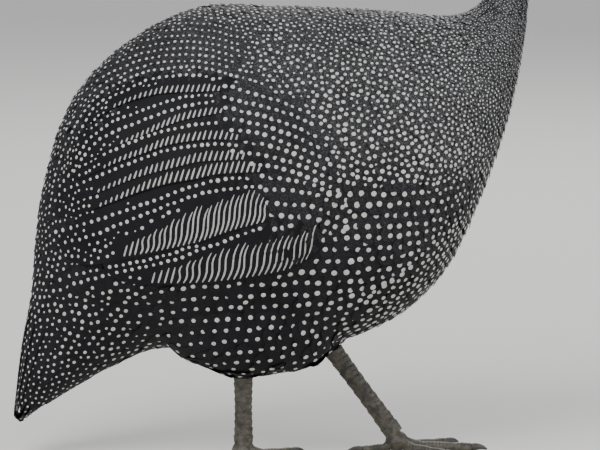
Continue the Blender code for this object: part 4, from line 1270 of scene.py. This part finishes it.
class GUINEA_OT_bars(bpy.types.Operator):
    """Sets the slanted white bars on the lower webs of the wing feathers"""

    bl_idname = "guinea.bars"
    bl_label = "Wing bars"

    def execute(self, context):
        cover = MADE["cover_surface"] = Surface(*joined(MADE["cover"]))
        MADE["bars"] = []
        white = spot_material("bar_white", context.scene.guinea_finishes.bars, 0.65)
        draw = np.random.default_rng(SEED + 31)
        up = np.linspace(0, 1, BAR_STEPS)
        wide = np.interp(up, [0, 0.15, 0.8, 1.0], [0.6, 1.0, 0.9, 0.35])[:, None] * BAR_HALF
        patch = [np.tile([-1, 0, 1, 0], BAR_STEPS) * BAR_PATCH, np.repeat(up - 0.5, 4) * 2 * PATCH]
        patch = np.stack(patch, axis=1)
        for label, side in SIDES:
            parts, bake = [], []
            for edge, (front, middle, rear), lean, spacing in BAR_ROWS:
                line = along_curve(edge, step=spacing)
                share = np.linspace(0, 1, len(line))
                tall = np.interp(share, [0, 0.12, 0.55, 1], [front, middle, middle, rear])
                for foot, most in zip(line, tall):
                    high = most * draw.uniform(0.92, 1.06)
                    slant = lean * high / max(front, middle, rear) * draw.uniform(0.85, 1.15)
                    bend = 0.13 * lean * np.sin(up * math.tau) if most > 18 else 0 * up
                    view = np.stack([foot[0] + slant * up + bend, foot[1] - 0.6 - high * up], axis=1)
                    places, normals, hit = cover.seen(view, side)
                    if not hit.all():
                        continue
                    run = np.gradient(places, axis=0)
                    run /= np.linalg.norm(run, axis=1)[:, None] + 1e-9
                    aside = np.cross(normals, run)
                    aside /= np.linalg.norm(aside, axis=1)[:, None] + 1e-9
                    left, right = (places + aside * wide * turn + normals * 0.03 for turn in (-1, 1))
                    ring = np.stack([left, places + normals * 0.22, right, places - normals * 0.3], axis=1)
                    parts.append((ring.reshape(-1, 3), tube_faces(BAR_STEPS, 4)))
                    MADE["bars"].append(places)
                    bake.append(unwrap(*LIE.place_of(places[:1]))[0] + patch)
            points, faces = joined(parts)
            piece = make_piece(
                f"wing_bars_{label}", points, faces, white, "plumage",
                bake=np.concatenate(bake), smooth_angle=75,
            )
            outward_faces(piece)
        return {"FINISHED"}


def grain(points, size, octaves=3):
    """Noise between -1 and 1 at each place, in features of the given size."""
    return np.array([fractal(Vector(point) / size, 1.0, 2.0, octaves) for point in points])


def groove(value, pitch, width):
    """A groove of depth 1 wherever the value crosses a multiple of the pitch."""
    away = np.abs((value / pitch + 0.5) % 1.0 - 0.5) * pitch
    return np.exp(-((away / width) ** 2))


def ring_mask(points, centre, inner, outer):
    """1 inside the inner radius, fading to 0 at the outer one."""
    return unit((outer - np.linalg.norm(points - centre, axis=1)) / (outer - inner))


def bell(value, centre, width):
    """1 at the centre, fading to 0 on both sides."""
    return np.exp(-(((value - centre) / width) ** 2))


class GUINEA_OT_legs(bpy.types.Operator):
    """Gives each shank and foot one scaled skin, with scutes in front and small scales behind"""

    bl_idname = "guinea.legs"
    bl_label = "Scaled legs"

    def execute(self, context):
        tone = context.scene.guinea_finishes.shank
        # The dark colour is painted shade in the grooves between the scales, mixed with random stains.
        masks = (("pale", colour(tone, 1.9)), ("dark", colour(tone, 0.28)))
        scales = mottled_material("shank_scales", tone, 0.55, 260.0, 0.45, 0.00015, masks)
        horn = mottled_material("claw_dark", CLAW_HORN, 0.35)
        for label, (hock, foot) in LEGS.items():
            self.leg(label, np.array(hock, float), np.array(foot, float), scales)
            for toe in TOES:
                self.claw(f"claw_{toe}_{label}", horn)
        return {"FINISHED"}

    def leg(self, label, hock, foot, finish):
        """One shank and its toes: scutes, a seam and small scales, then rings and pads on the toes."""
        nodes = [f"tarsus_{label}"] + [f"toe_{toe}_{label}" for toe in TOES]
        points, normals, faces = fused_arrays(nodes, 0.0005, 7, 0.0002)
        down = (foot - hock) / np.linalg.norm(foot - hock)
        front = np.array((1.0, 0.0, 0.0)) - down * down[0]
        front /= np.linalg.norm(front)
        run = (points - hock) @ down
        turn = np.arctan2((points - hock) @ np.cross(down, front), (points - hock) @ front)
        shank = unit((points[:, 2] - 17.0) / 5.0)
        ahead = unit((1.25 - np.abs(turn)) / 0.25)
        level = run + 2.1 * (turn > 0.05) + 1.2 * np.abs(turn)
        scute = groove(level, SCUTE, 0.42)
        seam = np.exp(-(((turn - 0.05) * 5 / 0.45) ** 2))
        across = 0.58 * turn * 4.6
        cells = np.maximum(groove(run + across, 2.0, 0.28), groove(run - across, 2.0, 0.28))
        cut = shank * (ahead * np.maximum(scute, seam) + (1 - ahead) * cells * 0.7)
        relief = -0.34 * cut + shank * ahead * 0.20 * ((level / SCUTE + 0.5) % 1.0)
        away = np.linalg.norm((points - foot)[:, :2], axis=1)
        toe = (1 - shank) * unit((away - 7.0) / 2.0)
        upper = toe * unit(normals[:, 2] * 2.0)
        rings = groove(away, TOE_SCALE, 0.32)
        pads = groove(away, 3.6, 0.6) * unit(-normals[:, 2] * 2.0)
        relief += -0.30 * upper * rings + 0.16 * upper * ((away / TOE_SCALE + 0.5) % 1.0)
        relief += -0.20 * toe * pads + 0.025 * grain(points, 0.8, 2)
        relief = np.where(points[:, 2] < 0.9, np.minimum(relief, 0.0), relief)
        pale = unit(grain(points, 7.0, 3) * 1.6) * 0.6
        stain = np.clip(-grain(points, 5.0, 3) * 1.5, 0, 0.7)
        # The dark mask is painted shade in the carved grooves between the scutes, along the seam and
        # between the toe rings, plus random stain from the grain.
        dark = unit(cut * 0.8 + upper * rings * 0.8 + stain)
        points = points + normals * relief[:, None]
        points[:, 2] = np.maximum(points[:, 2], FLOOR_GAP)
        piece = make_piece(
            f"leg_skin_{label}", points, faces, finish, "shank_skin",
            bake=wrap(turn, points[:, 2] / 90.0), smooth_angle=80, pale=pale, dark=dark,
        )
        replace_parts(piece, *nodes)

    def claw(self, node, finish):
        """One claw, rounded and slightly worn."""
        points, normals, faces = fused_arrays([node], 0.0003, 2, 0.0003)
        points = points + normals * (0.05 + 0.05 * grain(points, 1.6, 2))[:, None]
        points[:, 2] = np.maximum(points[:, 2], FLOOR_GAP)
        offset = points - points.mean(axis=0)
        turn = np.arctan2(offset[:, 2], np.linalg.norm(offset[:, :2], axis=1))
        bake = 0.5 + 0.4 * np.stack([offset[:, 0] / 12.0, turn / math.pi], axis=1)
        piece = make_piece(
            f"horn_{node}", points, faces, finish, "claw_horn", bake=bake, smooth_angle=80
        )
        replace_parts(piece, node)


class GUINEA_OT_head(bpy.types.Operator):
    """Builds the bare head: wrinkled skin, eyes, casque, bill, wattles and the hair-like nape feathers"""

    bl_idname = "guinea.head"
    bl_label = "Head and upper neck"

    def execute(self, context):
        finishes = context.scene.guinea_finishes
        head = self.bare_skin(finishes.bare_skin, finishes.red_skin)
        self.bill(finishes.red_skin)
        self.wattles(finishes.red_skin)
        self.casque(finishes.horn, finishes.red_skin)
        self.eyes()
        self.nape_feathers(head)
        return {"FINISHED"}

    def bare_skin(self, blue, red):
        """The skin of the head and upper neck: wrinkles, folds, a collar, a cere and a red crown."""
        masks = (("pale", colour(CHEEK_PALE)), ("slate", colour(SLATE_SKIN)), ("red", colour(red, 0.7)))
        finish = mottled_material("bare_head_skin", blue, 0.50, 420.0, 0.35, 0.00015, masks)
        points, normals, faces = fused_arrays(("head", "neck_upper", "eye_R", "eye_L"), 0.0006, 3)
        local = points - HEAD_CENTRE
        sided = local * (1, 0, 1) + np.abs(local[:, 1:2]) * (0, 1, 0)
        x, y, z = local.T
        neck = unit((-10.0 - z) / 12.0)
        wrinkles = -np.abs(grain(points * (1.0, 1.0, 2.2), 2.6, 3)) ** 0.6
        folds = -np.abs(grain(points * (0.5, 0.5, 3.0), 5.0, 3)) ** 0.6
        relief = 0.34 * wrinkles * (1 - 0.5 * neck) + 0.62 * neck * folds
        relief += 0.05 * grain(points, 0.8, 2) + 0.2
        rings = np.cos(np.linalg.norm(sided - EYE_PLACE, axis=1) / 0.62)
        rings *= ring_mask(sided, EYE_PLACE, 6.2, 8.4)
        relief = relief * (1 - 0.7 * ring_mask(sided, EYE_PLACE, 5.0, 7.6)) + 0.09 * rings
        collar = bell(np.hypot((x + 1.0) / 11.4, y / 6.0), 1.0, 0.16) * unit((z - 8.0) / 3.0)
        front = bell(x, 19.0, 2.0) * unit((z + 9.0) / 4.0)
        relief += collar * (0.9 + 0.5 * grain(points, 1.6, 2)) + 0.55 * front
        cheek = ring_mask(sided, EYE_PLACE + (0, 0, -5), 6.0, 15.0)
        pale = unit(cheek * 0.8 + 0.30 * grain(points, 3.0, 3)) * (1 - neck)
        nape = unit((2.0 - z) / 6.0) * unit((-9.0 - x - 0.16 * z) / 4.0)
        brow = bell(z, 10.5, 2.4) * unit((5.0 - x) / 4.0)
        creases = unit(-wrinkles * (1 - neck) - folds * neck - 0.25)
        slate = unit(nape * 1.2 + brow * (0.6 + 0.5 * grain(points, 3.0, 2)) + 0.25 * neck)
        slate = unit(slate + 0.22 * unit(grain(points, 5.0, 3) * 1.6) + 0.25 * (1 - creases) * neck)
        edge = 1.4 * grain(points, 2.6, 3)
        cere = unit((x + edge - 16.2) / 1.6) * unit((z + edge + 1.0) / 1.6)
        crown = unit((z + edge - 12.2) / 1.6) * 0.85
        points = points + normals * relief[:, None]
        head = make_piece(
            "head_skin", points, faces, finish, "bare_skin",
            bake=wrap(np.arctan2(y, x), (points[:, 2] - NECK_FOOT) / HEAD_SPAN), smooth_angle=80,
            pale=pale, slate=slate, red=unit(cere + crown),
        )
        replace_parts(head, "head", "neck_upper")
        return head

    def face_piece(self, name, node, shell, ridge, finish, slot, masks, shift=0.0, cut=0.0):
        """A piece of the face that replaces one node, lined along its length, shifted and cut in."""
        points, normals, faces = shell
        shape = ridge * grain(points * (0.4, 1, 1), 1.6, 3) + 0.04 * grain(points, 0.8, 2) - cut
        points = points + shift
        x, y, z = (points - points.mean(axis=0)).T
        piece = make_piece(
            name, points + normals * shape[:, None], faces, finish, slot,
            bake=wrap(np.arctan2(y, x), (z - z.min()) / (z.max() - z.min())), smooth_angle=80, **masks,
        )
        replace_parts(piece, node)

    def bill(self, red):
        """Both halves of the bill, with the nostrils and the foot of the cere on the upper one."""
        masks = (("tip", colour(BILL_UPPER_TIP)), ("red", colour(red, 0.8)))
        upper = mottled_material("bill_brown", BILL_UPPER, 0.36, 320.0, 0.2, 0.00015, masks)
        masks = (("tip", colour(BILL_LOWER_TIP)),)
        lower = mottled_material("bill_brown_lower", BILL_LOWER, 0.36, 320.0, 0.2, 0.00015, masks)
        for half, finish in (("upper", upper), ("lower", lower)):
            shell = fused_arrays([f"bill_{half}"], 0.0004, 2, 0.00045)
            points, normals, _ = shell
            x, _, z = (points - HEAD_CENTRE).T
            masks, cut = {"tip": unit((x - 34) / 8)}, 0.0
            if half == "upper":
                slit = np.hypot((x - NOSTRIL[0]) / 2.0, (z - NOSTRIL[1] - 0.10 * (x - NOSTRIL[0])) / 0.75)
                slit = unit(1.25 - slit) * (np.abs(normals[:, 1]) > 0.3)
                # The nostril slit takes the dark tip colour: painted shade in its cut-in recess.
                masks["tip"] = unit(masks["tip"] + 1.6 * slit)
                masks["red"] = unit((23.2 + 0.8 * grain(points, 1.8, 3) - x) / 1.6) * (1 - slit)
                cut = 0.9 * slit
            shift = np.outer(2.6 * unit((22.6 - x) / 2.4), (-1, 0, 0))
            name, node = f"bill_{half}_shell.001", f"bill_{half}"
            self.face_piece(name, node, shell, 0.06, finish, "bill_horn", masks, shift, cut)

    def wattles(self, red):
        """The two wattles, red with a blue root."""
        masks = (("tip", colour(red, 0.7)), ("pale", colour(WATTLE_ROOT)))
        finish = mottled_material("wattle_red", red, 0.42, 420.0, 0.2, 0.00015, masks)
        for label, _ in SIDES:
            shell = fused_arrays([f"wattle_{label}"], 0.0004, 2, 0.0001)
            z = (shell[0] - HEAD_CENTRE)[:, 2]
            masks = {"tip": 1 - (1 - unit((-16 - z) / 8)) ** 2, "pale": 1 - (1 - unit((z + 12.5) / 5)) ** 2}
            name = f"wattle_skin_{label}.001"
            self.face_piece(name, f"wattle_{label}", shell, 0.12, finish, "wattle_skin", masks)

    def casque(self, horn, red):
        """The bony helmet: upright rings, keeled, fluted and worn, with skin at its foot."""
        rings, turns = 90, 80
        points, heights, spins = [], [], []
        for level in np.linspace(0, len(CASQUE_RINGS) - 1, rings):
            height, middle, long, wide = smooth(CASQUE_RINGS, level)
            for spin in math.tau * np.arange(turns) / turns:
                east, north = math.cos(spin), math.sin(spin)
                ahead, aside = long * east, wide * north * (1 - 0.25 * east**2)
                out = Vector((east / long, north / wide, 0)).normalized()
                flute = fractal(Vector((east * 2.4, north * 2.4, height / 16.0)), 1.0, 2.0, 3)
                worn = fractal(Vector((ahead, aside, height)) / 2.2, 1.0, 2.0, 3)
                push = out * (0.30 - 0.85 * abs(flute) ** 0.8 + 0.22 * worn) * min(1.0, wide / 3.0)
                place = (middle + ahead + push.x, aside + push.y, height + 0.10 * ahead)
                points.append(HEAD_CENTRE + place)
                heights.append(height + 1.6 * flute)
                spins.append(spin / math.tau)
        heights, spins = np.array(heights), np.array(spins)
        masks = (("tip", colour(horn, 2.0)), ("red", colour(red, 0.45)))
        finish = mottled_material("casque_brown", horn, 0.45, 300.0, 0.5, 0.00015, masks)
        piece = make_piece(
            "casque_shell", np.array(points), tube_faces(rings, turns), finish, "casque_horn",
            bake=np.stack([0.02 + 0.96 * spins, 0.02 + 0.9 * (heights - 4) / 40], axis=1), smooth_angle=70,
            tip=unit((heights - 22) / 14) * 0.7, red=unit((15.5 - heights) / 2.2),
        )
        outward_faces(piece)
        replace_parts(piece, "casque")

    def eyes(self):
        """Eyeballs turned on an axis, with a domed cornea, a brown iris and a black pupil."""
        masks = (("pupil", colour(PUPIL)), ("rim", colour(EYE_RIM)))
        iris = mottled_material("iris_brown", IRIS, 0.05, 900.0, 0.4, 0.00002, masks)
        turns, rings = 40, 24
        last = 1 + (rings - 1) * turns
        faces = [(0, 1 + (index + 1) % turns, 1 + index) for index in range(turns)]
        faces += tube_faces(rings - 1, turns, 1, caps=False)
        start = last - turns
        faces += [(last, start + index, start + (index + 1) % turns) for index in range(turns)]
        polar = np.repeat(math.pi * np.arange(1, rings) / rings, turns)
        spin = np.tile(math.tau * np.arange(turns) / turns, rings - 1)
        away = np.concatenate([[0.0], polar, [math.pi]])
        compass = np.stack([np.cos(spin), np.sin(spin)], axis=1)
        bake = 0.5 + 0.46 * (away / math.pi)[:, None] * np.concatenate([[(1, 0)], compass, [(1, 0)]])
        reach = EYE_RADIUS * (1 + 0.07 * np.maximum(0.0, 1 - (polar / 0.75) ** 2))[:, None]
        for label, side in SIDES:
            centre = HEAD_CENTRE + EYE_PLACE * (1, side, 1)
            axis = np.array((0.10, side * 0.99, 0.05))
            axis /= np.linalg.norm(axis)
            first = np.cross(axis, (0, 0, 1.0))
            first /= np.linalg.norm(first)
            aside = compass @ np.stack([first, np.cross(axis, first)])
            round_it = axis * np.cos(polar)[:, None] + aside * np.sin(polar)[:, None]
            front, back = centre + axis * EYE_RADIUS * 1.07, centre - axis * EYE_RADIUS
            points = np.concatenate([[front], centre + round_it * reach, [back]])
            piece = make_piece(
                f"eyeball_{label}", points, faces, iris, "eye_brown", bake=bake,
                pupil=unit((0.42 - away) / 0.05), rim=unit((away - 0.78) / 0.08),
            )
            outward_faces(piece)
            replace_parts(piece, f"eye_{label}")

    def nape_feathers(self, head):
        """Thin black hair-like feathers down the back of the neck, each a slender closed blade."""
        surface = Surface.of(head)
        draw = np.random.default_rng(SEED + 41)
        chosen = draw.permutation(len(surface.points))[:9000]
        x, _, z = (surface.points[chosen] - HEAD_CENTRE).T
        low = unit((-38.0 - z) / 14.0)
        chance = unit((1.0 - z) / 8.0) * (unit((-x - 0.16 * z * 0.6 - 5.0) / 6.0) + low)
        chosen = chosen[draw.random(len(chosen)) < chance * 0.34]
        roots, normals = surface.points[chosen], surface.normals[chosen].astype(float)
        steps, sides = 6, 3
        points, faces, bake = [], [], []
        for number, (root, normal) in enumerate(zip(roots, normals)):
            reach = draw.uniform(8.0, 13.0)
            down = np.array((-0.25, 0, -1.0)) + draw.normal(0, 0.10, 3)
            flat = down - normal * (down @ normal)
            flat /= np.linalg.norm(flat)
            aside = np.cross(normal, flat)
            stand = draw.uniform(0.20, 0.55)
            curl = draw.uniform(-0.12, 0.12)
            at = wrap(math.atan2(root[1], root[0] - HEAD_CENTRE[0]), (root[2] - NECK_FOOT) / HEAD_SPAN)
            for part in np.linspace(0, 1, steps):
                bend = flat * part + normal * stand * part * (1 - 0.45 * part) + aside * curl * part**2
                centre = root - normal * 0.7 + bend * reach
                wide = 0.21 * (1 - part) ** 0.7 + 0.02
                points += [centre + aside * wide, centre - aside * wide, centre + normal * wide * 0.7]
                bake += [at + (over, part * 2 * PATCH) for over in (0.001, -0.001, 0)]
            faces += tube_faces(steps, sides, number * steps * sides)
        piece = make_piece(
            "nape_feathers", np.array(points), faces, spot_material("nape_black", NAPE_BLACK, 0.5),
            "neck_plumage", bake=np.array(bake), smooth_angle=80,
        )
        outward_faces(piece)


class GUINEA_OT_stage(bpy.types.Operator):
    """Sets the floor, the soft lights and the camera"""

    bl_idname = "guinea.stage"
    bl_label = "Floor, lights and camera"

    def execute(self, context):
        bpy.ops.object.select_all(action="DESELECT")
        bpy.ops.mesh.primitive_plane_add(size=12, location=(0, 0, 0))
        floor = context.view_layer.objects.active
        floor.name = "floor"
        finish, _, shader = new_material("pale_floor", 0.9)
        shader.inputs["Base Color"].default_value = colour(FLOOR)
        floor.data.materials.append(finish)
        world = bpy.data.worlds.new("studio")
        context.scene.world = world
        world.use_nodes = True
        light = world.node_tree.nodes["Background"].inputs
        light["Color"].default_value = colour(SKY)
        light["Strength"].default_value = 0.75
        for name, place, size, power in LAMPS:
            lamp = bpy.data.lights.new(name, "AREA")
            lamp.energy, lamp.size = power, size
            obj = bpy.data.objects.new(name, lamp)
            context.scene.collection.objects.link(obj)
            obj.location = place
            way = Vector((0, 0, 0.2)) - Vector(place)
            obj.rotation_euler = way.to_track_quat("-Z", "Y").to_euler()
        data = bpy.data.cameras.new("camera")
        data.sensor_width = SENSOR
        data.lens = FOCAL / VIEW_WIDTH * SENSOR
        data.clip_end = 50
        camera = bpy.data.objects.new("camera", data)
        context.scene.collection.objects.link(camera)
        camera.location = EYE * MM
        camera.rotation_euler = (AIM - EYE).to_track_quat("-Z", "Y").to_euler()
        context.scene.camera = camera
        return {"FINISHED"}


OPERATORS = (
    GUINEA_OT_skin,
    GUINEA_OT_coat,
    GUINEA_OT_wings,
    GUINEA_OT_tail,
    GUINEA_OT_bars,
    GUINEA_OT_spots,
    GUINEA_OT_legs,
    GUINEA_OT_head,
    GUINEA_OT_stage,
)


class GUINEA_PT_panel(bpy.types.Panel):
    """Lists the sizes, the colours and the steps that dress the bird"""

    bl_idname = "GUINEA_PT_panel"
    bl_label = "Guinea fowl"
    bl_space_type = "VIEW_3D"
    bl_region_type = "UI"
    bl_category = "Guinea fowl"

    def draw(self, context):
        for group in (context.scene.guinea_sizes, context.scene.guinea_finishes):
            box = self.layout.box()
            for name in group.bl_rna.properties.keys():
                if name not in ("rna_type", "name"):
                    box.prop(group, name)
        for operator in OPERATORS:
            self.layout.operator(operator.bl_idname)


CLASSES = (GuineaSizes, GuineaFinishes, *OPERATORS, GUINEA_PT_panel)


def register():
    """Adds the operators, the panel and the properties."""
    for item in CLASSES:
        bpy.utils.register_class(item)
    bpy.types.Scene.guinea_sizes = bpy.props.PointerProperty(type=GuineaSizes)
    bpy.types.Scene.guinea_finishes = bpy.props.PointerProperty(type=GuineaFinishes)


def unregister():
    """Takes them away again."""
    del bpy.types.Scene.guinea_finishes
    del bpy.types.Scene.guinea_sizes
    for item in reversed(CLASSES):
        bpy.utils.unregister_class(item)


def main():
    """Runs every step in order."""
    register()
    for operator in OPERATORS:
        group, name = operator.bl_idname.split(".")
        getattr(getattr(bpy.ops, group), name)()


if __name__ == "__main__":
    main()
